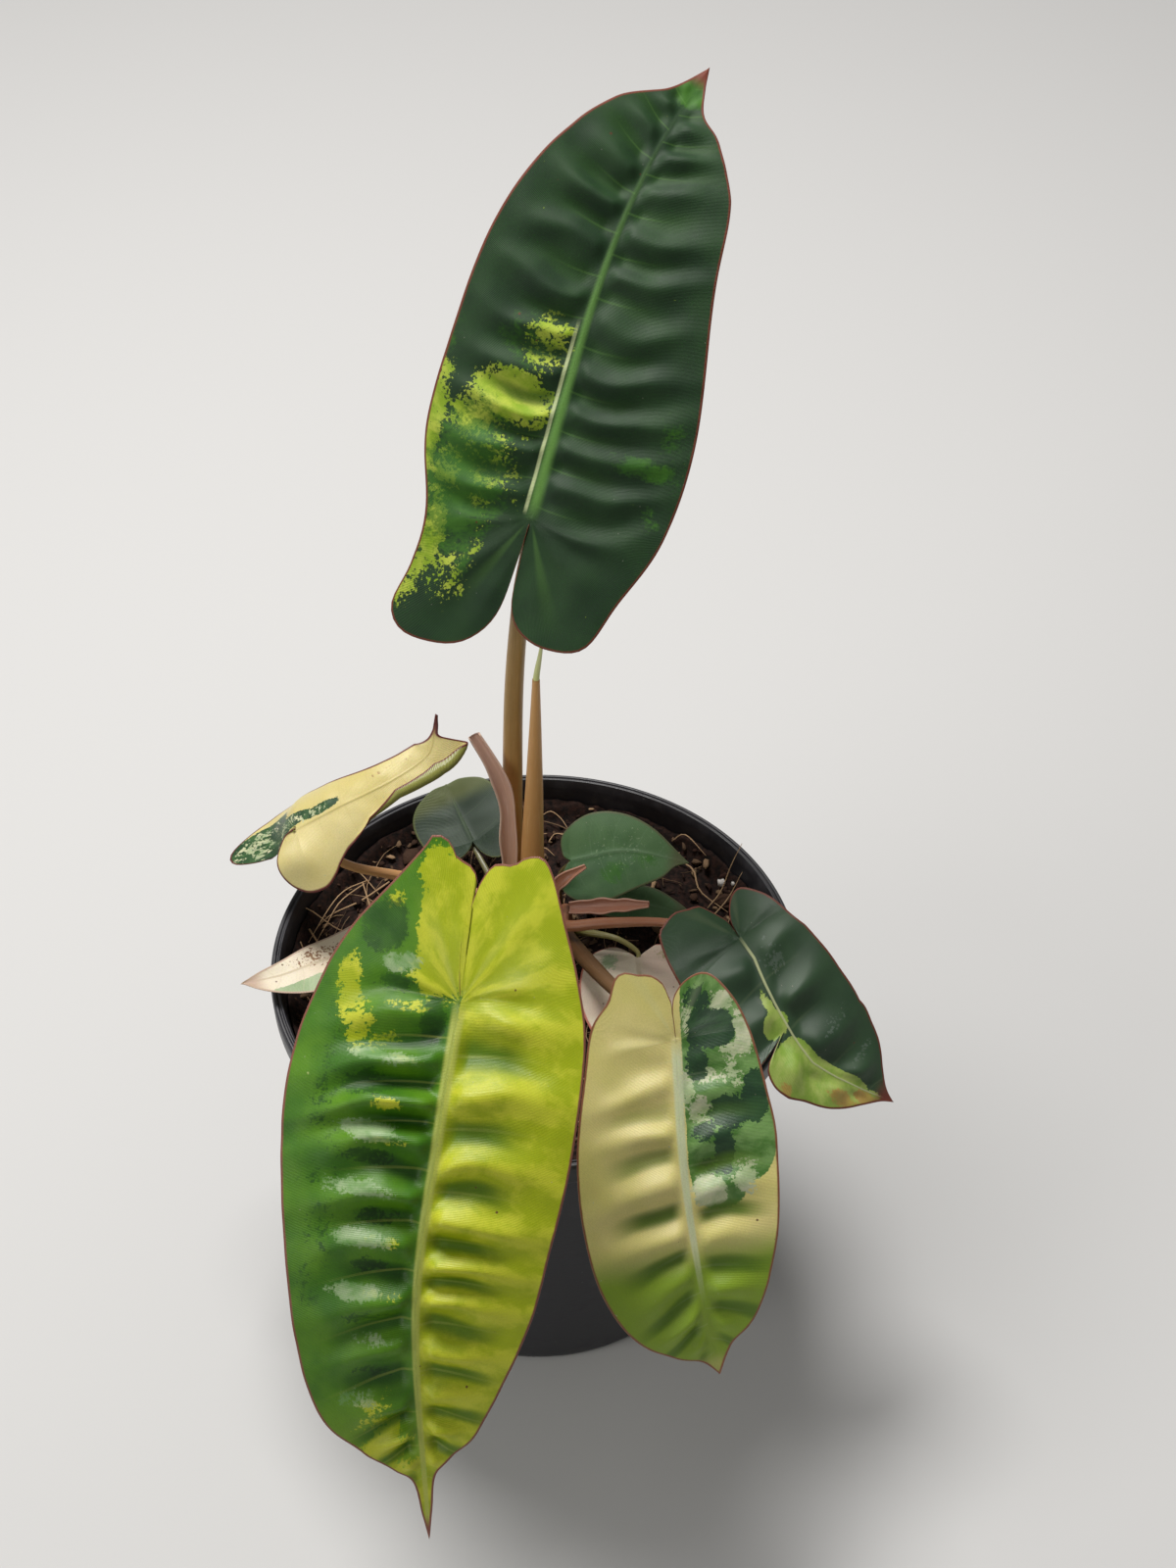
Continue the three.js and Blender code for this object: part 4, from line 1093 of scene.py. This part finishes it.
def rolledMargin(u, v, lift):
    # the near margin rolls up over the blade towards the tip; the far half bends down and its lobe hangs
    start = np.interp(u, [10, 16, 22, 31, 38, 43, 47.5, 50], [14, 9, 5.6, 3.6, 4.2, 4.9, 7.4, 8])
    past = np.clip(v - start, 0, None) * smooth(8, 16, u)
    radius = 2.0
    turn = np.minimum(past / radius, 3.0)
    rest = past - turn * radius
    rolled = radius * (1 - np.cos(turn)) + rest * np.sin(turn)
    swell = 2.2 * np.exp(-(((v - 9) / 5) ** 2)) * smooth(6, -4, u) * (v > 0)
    sunk = (0.028 * v * v * smooth(-14, -2, u) + 11 * smooth(0, -15, u)) * (v < 0)
    return u, v - past + radius * np.sin(turn) + rest * np.cos(turn), lift + rolled + swell - sunk


twistedLeaf = {
    "rib": [[-67, 20, 152], [-53, 22, 160], [-40, 25, 166], [-30, 31, 170], [-28, 36, 174.5],
            [-27.6, 37.5, 179.6]],
    "facing": [[-0.1, -0.3, 0.95], [0.1, -0.5, 0.8]], "fold": 0.05, "cup": -0.02, "channel": 0.3,
    "left": [[-6, 0.8], [-14, 1.8], [-21, 3.4], [-27, 6.5], [-27, 10.6], [-19, 14.6], [-10, 16.2], [-2, 16],
             [6, 13], [14, 10.5], [24, 8], [35, 6.4], [44, 5], [49, 1.2], [53, 0.4]],
    "right": [[-4, 1.2], [-7, 6], [-8, 11], [-6.5, 15], [-2.8, 17.8], [2.2, 18.2], [6, 16.4], [9, 14],
              [14, 11.2], [22, 9.4], [31, 9.8], [38, 11], [43, 12.6], [47, 13.2], [48.4, 10], [48.8, 5],
              [49.6, 1.2], [53, 0.4]],
    "rows": 130, "lobeRows": 36, "columns": 44, "spacing": 11, "quilt": 0.35, "seed": 10,
    "bend": rolledMargin, "curled": True,
    "crests": ([2], [3]), "ribWidth": (0.9, 0.4),
    "patches": ([(-16, -7, 14, 7, 1.5, 3), (-4, -3.6, 12, 3.0, 1.4), (8, -2.6, 9, 2.2, 1.1)],
                [(-18, -8, 14, 8, 0.5), (-4, -4, 12, 3, 0.5), (8, -2.6, 9, 2.2, 0.45)],
                [(30, -4, 10, 2, 0.4), (38, -3, 5, 2, 0.5)]),
}
twistedPaint = {
    "base": ((0.68, 0.58, 0.27), (0.62, 0.52, 0.2)), "ribColour": (0.42, 0.34, 0.1), "ribAmount": 0.45,
    "edge": (0.13, 0.02, 0.02),
    "tip": (0.3, 0.08, 0.07),
    "under": (0.22, 0.23, 0.04), "underAmount": 0.9, "threads": 0.12, "mottleSize": 2.4, "dots": 0.3,
    "edgeWidth": 0.9, "lobeVein": 0.0, "glow": 0.16,
    "paints": ({"colours": ((0.018, 0.06, 0.022), (0.05, 0.12, 0.04)), "mottle": 1.0, "fine": 0.5},
               {"colours": ((0.6, 0.6, 0.38), (0.34, 0.42, 0.24)), "mottle": 2.4, "fine": 0.9},
               {"colours": ((0.2, 0.07, 0.03), (0.3, 0.12, 0.05)), "mottle": 1.2, "amount": 0.6}),
}
makeLeaf("twistedLeaf", twistedLeaf, twistedPaint, "cream_leaf", "twisted_leaf_blade")

smallDefaults = {
    "rows": 52, "lobeRows": 12, "columns": 16, "channel": 0.5, "quilt": 0.3, "spacing": 8,
    "crests": ([3], [5]), "wave": 0.4, "waveSize": 14, "thick": 0.4, "ribRadius": 0.8,
    "ribWidth": (1.4, 0.5), "tipSlope": 1.2, "sweep": 0.02,
}
heartLeaf = {
    **smallDefaults, "rib": [[10, 28, 131], [26, 30, 133], [44, 29, 129]],
    "facing": [[0, -0.45, 0.9], [0.1, -0.45, 0.9]], "fold": 0.15, "cup": -0.01,
    "left": [[-2, 2], [-1, 8], [6, 12], [13, 12], [22, 8], [30, 3]],
    "right": [[-2, 2], [-4, 8], [1, 13], [8, 14], [18, 12], [27, 7], [31, 2]],
    "patches": ([(12, 6, 9, 6, 0.8), (22, 2, 9, 6, 0.6)], [], [(16, 0, 22, 15, 0.36)]),
}
heartPaint = {
    "base": ((0.05, 0.13, 0.045), (0.09, 0.185, 0.07)), "ribColour": (0.14, 0.24, 0.12), "ribAmount": 0.35,
    "edge": (0.1, 0.12, 0.05),
    "under": (0.12, 0.18, 0.09), "dots": 0.15, "rough": 0.42, "dust": 0.3,
    "paints": ({"colours": ((0.03, 0.13, 0.012), (0.045, 0.17, 0.016)), "mottle": 1.2, "soft": 0.3},
               None,
               {"colours": ((0.2, 0.3, 0.16), (0.3, 0.4, 0.24)), "mottle": 0.5, "fine": 1.2,
                "amount": 0.6}),
}
makeLeaf("heartLeaf", heartLeaf, heartPaint, "dark_leaf", "heart_leaf_blade")

roundLeaf = {
    **smallDefaults, "rib": [[-19, 42.6, 124], [-23, 50.5, 127.5], [-27, 58, 132]],
    "facing": [[0, -0.6, 0.8], [0, -0.6, 0.8]], "cup": -0.008,
    "left": [[-2, 2], [-3, 7], [3, 13], [11, 14], [16, 11], [19, 5]],
    "right": [[-5, 1.4], [-8, 5], [-6, 10], [1, 13], [9, 14], [16, 11], [19, 5]],
}
roundPaint = {
    "base": ((0.022, 0.042, 0.025), (0.032, 0.056, 0.034)), "ribColour": (0.07, 0.11, 0.055),
    "ribAmount": 0.6, "edge": (0.1, 0.12, 0.04),
    "under": (0.1, 0.14, 0.08), "dots": 0.2, "threads": 0.3, "rough": 0.45, "dust": 0.3,
    "paints": (),
}
makeLeaf("roundLeaf", roundLeaf, roundPaint, "dark_leaf", "round_leaf_blade")

witheredLeaf = {
    **smallDefaults, "rib": [[-40, 11, 116.5], [-57, -1, 122], [-71, -10, 124.4], [-82, -13, 124]],
    "facing": [[-0.1, -0.2, 1], [-0.1, -0.2, 1]], "quilt": 0.3, "wave": 1.0,
    "left": [[-3, 2], [-4, 8], [6, 12], [20, 12], [34, 9], [44, 4]],
    "right": [[-3, 2], [-4, 6], [6, 9], [20, 7], [34, 5], [44, 2.4]],
    "patches": ([(24, -7, 28, 3.6, 1.2, 3)], [(54, 0, 4, 5, 0.9), (24, 2, 14, 5, 0.5)], []),
}
witheredPaint = {
    "base": ((0.78, 0.7, 0.56), (0.73, 0.62, 0.48)), "ribColour": (0.6, 0.5, 0.36),
    "edge": (0.5, 0.36, 0.28),
    "under": (0.55, 0.48, 0.34), "dots": 0.7, "dotSpacing": 3.2, "rough": 0.45,
    "paints": ({"colours": ((0.3, 0.4, 0.22), (0.4, 0.48, 0.3)), "mottle": 0.6},
               {"colours": ((0.2, 0.09, 0.04), (0.3, 0.16, 0.08)), "mottle": 0.9, "fine": 1.6}),
}
makeLeaf("witheredLeaf", witheredLeaf, witheredPaint, "old_leaf", "withered_leaf_blade")

paleLeaf = {
    **smallDefaults, "rib": [[29, 2, 118], [30, -15, 119], [31, -27, 117], [33, -42, 114]],
    "facing": [[0, -0.2, 1], [0, -0.2, 1]], "fold": -0.1, "quilt": 0.3, "wave": 1.2,
    "left": [[-2, 2], [-6, 6], [-4, 11], [6, 13], [18, 13], [30, 9], [40, 4]],
    "right": [[-2, 2], [-6, 7], [-3, 14], [8, 17], [20, 16], [30, 12], [40, 5]],
    "patches": ([(0, 8, 6, 5, 0.7)], [(-2, -8, 5, 6, 0.6)], []),
}
palePaint = {
    "base": ((0.74, 0.66, 0.52), (0.7, 0.54, 0.44)), "ribColour": (0.6, 0.5, 0.36),
    "edge": (0.5, 0.16, 0.12),
    "under": (0.55, 0.48, 0.34), "dots": 0.5, "dotSpacing": 3.6, "rough": 0.45,
    "paints": ({"colours": ((0.3, 0.4, 0.22), (0.4, 0.48, 0.3)), "mottle": 0.6, "soft": 0.2},
               {"colours": ((0.35, 0.3, 0.14), (0.45, 0.36, 0.2)), "mottle": 0.8, "soft": 0.2}),
}
makeLeaf("paleLeaf", paleLeaf, palePaint, "old_leaf", "pale_leaf_blade")

scaleLeaf = {
    **smallDefaults, "rib": [[12, 27, 114.6], [29, 25, 116.4], [46, 22, 113.6]],
    "facing": [[0, -0.3, 1], [0, -0.3, 1]], "rows": 32, "lobeRows": 3, "columns": 10,
    "left": [[2, 2.6], [10, 5], [20, 5.6], [29, 3]], "right": [[2, 2.6], [10, 5], [20, 5.6], [29, 3]],
}
makeLeaf("scaleLeaf", scaleLeaf, heartPaint, "dark_leaf", "scale_leaf")


# Stalks: orange-brown, finely lined along their length, with a shallow groove on the upper side

def stalkFinish(name, low, high, line, tip=None, rough=0.34, width=0):
    finish = Finish(name, Roughness=0.4, Subsurface_Weight=0.1, Subsurface_Radius=(1, 0.5, 0.2),
                    Subsurface_Scale=0.001)
    run, around, share = finish.parts("along")
    cloud = finish.noise(finish.place(run, around), 9, 4, 0.6)
    shade = finish.mix(finish.window(share + cloud * 0.6, 0.2, 1.2), low, high)
    streak = finish.noise(finish.place(run * 0.035, around), 0.42, 3, 0.6)
    shade = finish.mix(finish.window(streak, 0.5, 0.75) * 0.6, shade, line)
    speck = finish.spots(finish.place(run * 0.5, around), 0.75, 0.13, 0.35)
    shade = finish.mix(speck * 0.35, shade, (0.5, 0.36, 0.2))
    if tip:
        shade = finish.mix(finish.window(share, 0.9, 0.98), shade, tip)
    if width:
        beside = abs(around - width / 2)
        shade = finish.mix(finish.window(beside, width * 0.4, width * 0.5) * 0.7, shade, line)
    finish.colour(shade)
    finish.rough(cloud * 0.2 + (rough - 0.06))
    finish.bump(streak, 0.5, 0.14)
    return finish.material


def grooved(share, angle):
    # an upper side pressed in a little, and a swelling where the stalk leaves the crown
    groove = 1 - 0.16 * np.exp(-((np.angle(np.exp(1j * angle)) / 0.55) ** 2)) * smooth(0.02, 0.2, share)
    return groove * (1 + 0.35 * np.exp(-((share / 0.06) ** 2)))


stalks = {
    "topLeafStalk": {
        "node": "top_leaf_stalk", "radii": [3.1, 3.0, 2.8, 2.6], "leaf": topLeaf, "facing": (0, -0.6, 0.4),
        "points": [[-2.2, 34, 113.6], [-4.6, 33.8, 121], [-6.7, 34, 130], [-6.4, 35, 160],
                   [-5.4, 36.5, 192],
                   [-3, 38.6, 222], [0.1, 42.6, 245.2]],
        "colours": ((0.5, 0.29, 0.1), (0.36, 0.22, 0.07), (0.6, 0.38, 0.16)),
    },
    "frontLeafStalk": {
        "node": "front_leaf_stalk", "radii": [3, 2.9, 2.7, 2.4], "leaf": frontLeaf, "facing": (0, 0.6, 0.8),
        "points": [[-1.5, 18.2, 113.6], [-1.6, 17.2, 118.4], [-6, -8, 142], [-12, -44, 168],
                   [-16.9, -71.6, 182.8]],
        "colours": ((0.22, 0.1, 0.035), (0.2, 0.13, 0.04), (0.3, 0.16, 0.06)),
    },
    "creamLeafStalk": {
        "node": "cream_leaf_stalk", "radii": [2.4, 2.4, 2.3, 2.0], "leaf": creamLeaf,
        "facing": (0, 0.6, 0.8),
        "points": [[6.2, 18.6, 113.6], [6.5, 17, 116.4], [10.2, 7.4, 118.4], [21.6, -22.5, 133.5],
                   [38, -53.5, 147]],
        "colours": ((0.09, 0.04, 0.015), (0.2, 0.11, 0.05), (0.22, 0.13, 0.06)),
    },
    "darkLeafStalk": {
        "node": "dark_leaf_stalk", "radii": [1.7, 1.7, 1.6, 1.3], "leaf": darkLeaf,
        "facing": (0, -0.3, 0.9),
        "points": [[8.2, 23.5, 113.6], [8.4, 20.4, 118.6], [8.6, 9, 124], [20.4, 5.4, 129], [37.3, -2, 137],
                   [55.5, -11.2, 141.4]],
        "colours": ((0.4, 0.17, 0.09), (0.36, 0.14, 0.07), (0.5, 0.28, 0.17)),
    },
    "twistedLeafStalk": {
        "node": "twisted_leaf_stalk", "radii": [1.8, 1.7, 1.6, 1.4], "leaf": twistedLeaf,
        "facing": (0, -0.3, 0.9),
        "points": [[-9.6, 22.6, 113.6], [-12, 23, 117.6], [-25, 27, 122], [-40, 23, 130],
                   [-54, 17.6, 140.5],
                   [-65.4, 20.8, 148.8]],
        "colours": ((0.58, 0.3, 0.12), (0.62, 0.33, 0.14), (0.72, 0.46, 0.24)),
    },
    "heartLeafStalk": {
        "node": "heart_leaf_stalk", "radii": [1.3, 1.2, 1.0], "leaf": heartLeaf, "facing": (0, -0.6, 0.6),
        "points": [[6.3, 29.5, 113.6], [6.2, 29.6, 118], [7.2, 29.2, 124], [10, 29.4, 128.6]],
        "colours": ((0.16, 0.1, 0.04), (0.14, 0.13, 0.05), (0.22, 0.16, 0.07)),
    },
    "roundLeafStalk": {
        "node": "round_leaf_stalk", "radii": [1.1, 1, 0.9], "leaf": roundLeaf, "facing": (0, -0.6, 0.6),
        "points": [[-10.4, 27.8, 113.6], [-11.2, 28.8, 117], [-14, 33, 119.6], [-19, 43.4, 121.6]],
        "colours": ((0.14, 0.1, 0.04), (0.12, 0.12, 0.05), (0.2, 0.16, 0.07)),
    },
    "witheredLeafStalk": {
        "node": "withered_leaf_stalk", "radii": [1.2, 1.1, 0.9], "leaf": witheredLeaf,
        "facing": (0, -0.2, 1),
        "points": [[-7.5, 17.8, 113.6], [-9.4, 16.4, 116], [-25, 12, 114.4], [-36.5, 11.6, 113.2]],
        "colours": ((0.2, 0.12, 0.05), (0.36, 0.26, 0.12), (0.42, 0.3, 0.15)),
    },
    "paleLeafStalk": {
        "node": "pale_leaf_stalk", "radii": [1.2, 1.2, 1.1, 0.8], "leaf": paleLeaf, "facing": (0, -0.2, 1),
        "points": [[10.3, 19.6, 113.6], [12.4, 13.6, 116.2], [17, 10.4, 119], [23.5, 7.4, 120],
                   [28.9, 4.2, 118.2]],
        "colours": ((0.16, 0.15, 0.04), (0.3, 0.27, 0.09), (0.36, 0.3, 0.12)),
    },
}


stalkRooted = 3.5  # how deep a stalk's end stands in the crown
stalkTaper = 0.9  # share of its last radius that a stalk has where it meets the midrib
stalkTip = 0.6  # radius of its end under the blade


def makeStalks():
    for name, look in stalks.items():
        # the last two points run along the underside of the blade's midrib
        place = bladeSpace(look["leaf"])[0]
        depth = look["radii"][-1] + 0.4
        join = place(np.array([0.5, depth * 2]), np.zeros(2), np.array([-depth, -1.3]))
        points = look["points"] + join.tolist()
        points[0] = [points[0][0], points[0][1], points[0][2] - stalkRooted]
        radii = look["radii"] + [look["radii"][-1] * stalkTaper, stalkTip]
        part = sweep(points, [look["facing"]] * 2, radii, radii, 22, 70, grooved)
        material = stalkFinish(name + "Skin", *look["colours"])
        handOver(addMesh(name, *part), material, "stalk_skin", look["node"])


makeStalks()
print("stalks made")


# Crown: the short thick stem that all the stalks leave from, with old scars round it
crownLook = {"centre": (-0.5, 25), "radius": 10.6, "bottom": 92, "top": 113.2,
             "skin": (0.16, 0.09, 0.035), "scar": (0.07, 0.035, 0.02), "green": (0.16, 0.15, 0.05)}


def makeCrown():
    look = crownLook
    sides, rings = 64, 40
    share = np.linspace(0, 1, rings)[:, None]
    angle = anglesRound(sides)[None, :]
    z = look["bottom"] + (look["top"] - look["bottom"]) * np.sin(share * math.pi / 2)
    radius = look["radius"] * np.sqrt(np.clip(1 - share**3.2, 0.004, 1))
    radius = radius * (1 + 0.06 * np.sin(angle * 5 + share * 4) + 0.05 * np.sin(share * 46))
    x = look["centre"][0] + radius * np.cos(angle)
    y = look["centre"][1] + radius * np.sin(angle)
    ring = np.stack([x, y, z + 0 * x], -1).reshape(-1, 3)
    centre = [*look["centre"]]
    vertices = np.vstack([ring, [[*centre, look["bottom"]], [*centre, look["top"]]]])
    crown = addMesh("crown", vertices, ringFaces(rings, sides))
    finish = Finish("crownSkin", Roughness=0.6)
    where = objectPlace(finish)
    shade = finish.mix(finish.window(finish.noise(where, 3, 5, 0.6), 0.35, 0.65), look["scar"], look["skin"])
    shade = finish.mix(finish.window(finish.noise(where, 7, 2), 0.5, 0.7), shade, look["green"])
    finish.colour(shade)
    finish.bump(finish.noise(where, 1.2, 4, 0.6), 0.6, 0.3)
    handOver(crown, finish.material, "stem_skin", "stem")


makeCrown()


# New leaf: a rolled point in a tall sheath
newLeafLook = {
    "sheath": [[0, 26.2, 110], [-1.1, 26, 132], [-0.2, 27, 163], [0.4, 28, 184.5], [0.8, 29, 200.6]],
    "sheathRadii": [3.6, 3.4, 2.7, 1.9, 1.05],
    "sheathColours": ((0.6, 0.3, 0.1), (0.66, 0.36, 0.13), (0.8, 0.5, 0.24)),
    "point": [[0.7, 28.6, 192], [0.82, 29.05, 200.5], [2, 30, 208.8], [3.1, 31, 216.4]],
    "pointRadii": [0.9, 0.95, 0.8, 0.5, 0.12],
    "pointColours": ((0.62, 0.68, 0.2), (0.75, 0.78, 0.4), (0.78, 0.8, 0.45), (0.5, 0.16, 0.1)),
}


def rolled(share, angle):
    # the step where one edge of the roll lies over the other, winding slowly round
    turn = np.mod(angle - 2.2 - share * 1.2, 2 * math.pi) / (2 * math.pi)
    return 0.93 + 0.13 * turn * smooth(0, 0.04, turn)


def rolledPart(points, radii, sides, rings):
    return sweep(points, [(0, -1, 0.05)] * 2, radii, radii, sides, rings, rolled)


def makeNewLeaf():
    look = newLeafLook
    sheath = addMesh("newLeafSheath", *rolledPart(look["sheath"], look["sheathRadii"], 40, 110))
    handOver(sheath, stalkFinish("newSheathSkin", *look["sheathColours"]), "sheath_skin", "new_leaf_sheath")
    point = addMesh("newLeafPoint", *rolledPart(look["point"], look["pointRadii"], 24, 50))
    handOver(point, stalkFinish("newLeafSkin", *look["pointColours"]), "young_leaf", "new_leaf_point")


makeNewLeaf()

# Sheaths that the old leaves have left: open, gutter-shaped straps with paler edges
straps = {
    "oldSheath": {
        "node": "old_sheath", "widths": [3.4, 3.8, 4.2, 4.4, 3.0], "curl": 1.0, "thickness": 0.5,
        "points": [[-7.4, 29.3, 111], [-7.2, 28.6, 135], [-7.6, 29.8, 154], [-10.4, 31.6, 163.7],
                   [-16.6, 35.6, 174]],
        "facing": [(-0.3, -0.9, 0.1), (-0.5, -0.7, 0.5)],
        "colours": ((0.58, 0.34, 0.23), (0.62, 0.38, 0.29), (0.8, 0.58, 0.48)),
    },
    "darkLeafSheath": {
        "node": "dark_leaf_sheath", "widths": [2.6, 3.6, 3.0, 1.2], "curl": 0.5, "thickness": 0.45,
        "points": [[9.6, 13.6, 126.4], [20, 10.6, 130.4], [32, 6, 136]],
        "facing": [(0, -0.6, 0.8), (0, -0.6, 0.8)],
        "colours": ((0.3, 0.12, 0.07), (0.36, 0.15, 0.09), (0.6, 0.36, 0.28)),
    },
    "heartLeafSheath": {
        "node": "heart_leaf_sheath", "widths": [2.4, 3.4, 2.8, 0.6], "curl": 0.9, "thickness": 0.45,
        "points": [[4.6, 22.8, 116], [4.6, 20.6, 126], [8.4, 20.2, 131.8], [14.2, 21.6, 135.2]],
        "facing": [(0.2, -0.8, 0.5), (0, -0.6, 0.8)],
        "colours": ((0.32, 0.13, 0.08), (0.4, 0.17, 0.1), (0.6, 0.34, 0.25)),
    },
}


def strapPart(look, columns=12, rows=70):
    # two skins of a strap whose section is part of a circle, joined at the edges
    centres, _, up, across = guide(look["points"], look["facing"], rows)
    share = np.linspace(0, 1, rows)
    width = np.interp(share, np.linspace(0, 1, len(look["widths"])), look["widths"])
    wavy = 1 + 0.12 * np.sin(share * 19) * np.sin(share * math.pi)
    angle = np.linspace(-1, 1, columns)[None, :] * (0.2 + look["curl"])
    radius = (width * wavy / 2 / math.sin(0.2 + look["curl"] * 0.8))[:, None]
    skins = []
    for depth in (0, look["thickness"]):
        r = radius + depth
        side = np.sin(angle) * r
        lift = (1 - np.cos(angle)) * r - depth
        skins.append(centres[:, None] + across[:, None] * side[..., None] + up[:, None] * lift[..., None])
    loop = np.concatenate([skins[1], skins[0][:, ::-1]], 1)
    run = (share * runLength(centres)[-1])[:, None]
    around = np.r_[np.linspace(0, 5, columns), np.linspace(5, 0, columns)]
    field = np.stack(np.broadcast_arrays(run, around, share[:, None]), -1).reshape(-1, 3)
    vertices = np.vstack([loop.reshape(-1, 3), [loop[0].mean(0), loop[-1].mean(0)]])
    return vertices, ringFaces(rows, 2 * columns), {"along": np.vstack([field, [[0, 2, 0], [0, 2, 1]]])}


def makeStraps():
    for name, look in straps.items():
        handOver(addMesh(name, *strapPart(look)), stalkFinish(name + "Skin", *look["colours"], width=5),
                 "sheath_skin", look["node"])


makeStraps()
print("crown, sheaths and new leaf made")


# Hidden roots keep the frame's shape
def rootSkin():
    finish = Finish("rootSkin", Roughness=0.85)
    where = objectPlace(finish)
    finish.colour(finish.mix(finish.noise(where, 2.5, 4), (0.55, 0.42, 0.27), (0.34, 0.22, 0.12)))
    finish.bump(finish.noise(where, 0.8, 3), 0.5, 0.2)
    return finish.material


rootMaterial = rootSkin()
for rootNumber in range(1, 6):
    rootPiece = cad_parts[f"root_{rootNumber}"]
    rootPiece.data.materials.clear()
    rootPiece.data.materials.append(rootMaterial)


# Studio: a pale floor and soft light
studioLook = {
    "floor": (0.6, 0.6, 0.6), "floorSize": 6.0, "aim": (0, 0, 0.15),
    "sky": (1.0, 0.98, 0.95), "skyStrength": 0.25,
    "lamps": [
        {"name": "overhead", "at": (-0.18, 0.42, 1.25), "size": 0.5, "watts": 17, "tone": (1, 0.98, 0.95)},
        {"name": "fill", "at": (-1.0, -0.7, 0.8), "size": 0.8, "watts": 5, "tone": (1, 0.98, 0.95)},
    ],
}


def makeStudio():
    look = studioLook
    half = look["floorSize"]
    floorMesh = bpy.data.meshes.new("floor")
    corners = [(-half, -half, 0), (half, -half, 0), (half, half, 0), (-half, half, 0)]
    floorMesh.from_pydata(corners, [], [(0, 1, 2, 3)])
    floor = bpy.data.objects.new("floor", floorMesh)
    bpy.context.scene.collection.objects.link(floor)
    finish = Finish("floorPaint", Roughness=0.85, Specular_IOR_Level=0.2)
    finish.colour(look["floor"])
    floorMesh.materials.append(finish.material)

    world = bpy.data.worlds.new("studio")
    world.use_nodes = True
    background = world.node_tree.nodes["Background"]
    background.inputs[0].default_value = (*look["sky"], 1)
    background.inputs[1].default_value = look["skyStrength"]
    bpy.context.scene.world = world

    aim = Vector(look["aim"])
    for lamp in look["lamps"]:
        light = bpy.data.lights.new(lamp["name"], "AREA")
        light.shape = "DISK"
        light.size = lamp["size"]
        light.energy = lamp["watts"]
        light.color = lamp["tone"]
        stand = bpy.data.objects.new(lamp["name"], light)
        stand.location = lamp["at"]
        stand.rotation_euler = (aim - Vector(lamp["at"])).to_track_quat("-Z", "Y").to_euler()
        bpy.context.scene.collection.objects.link(stand)


makeStudio()
bpy.context.scene.view_settings.view_transform = "Standard"
print("studio made")
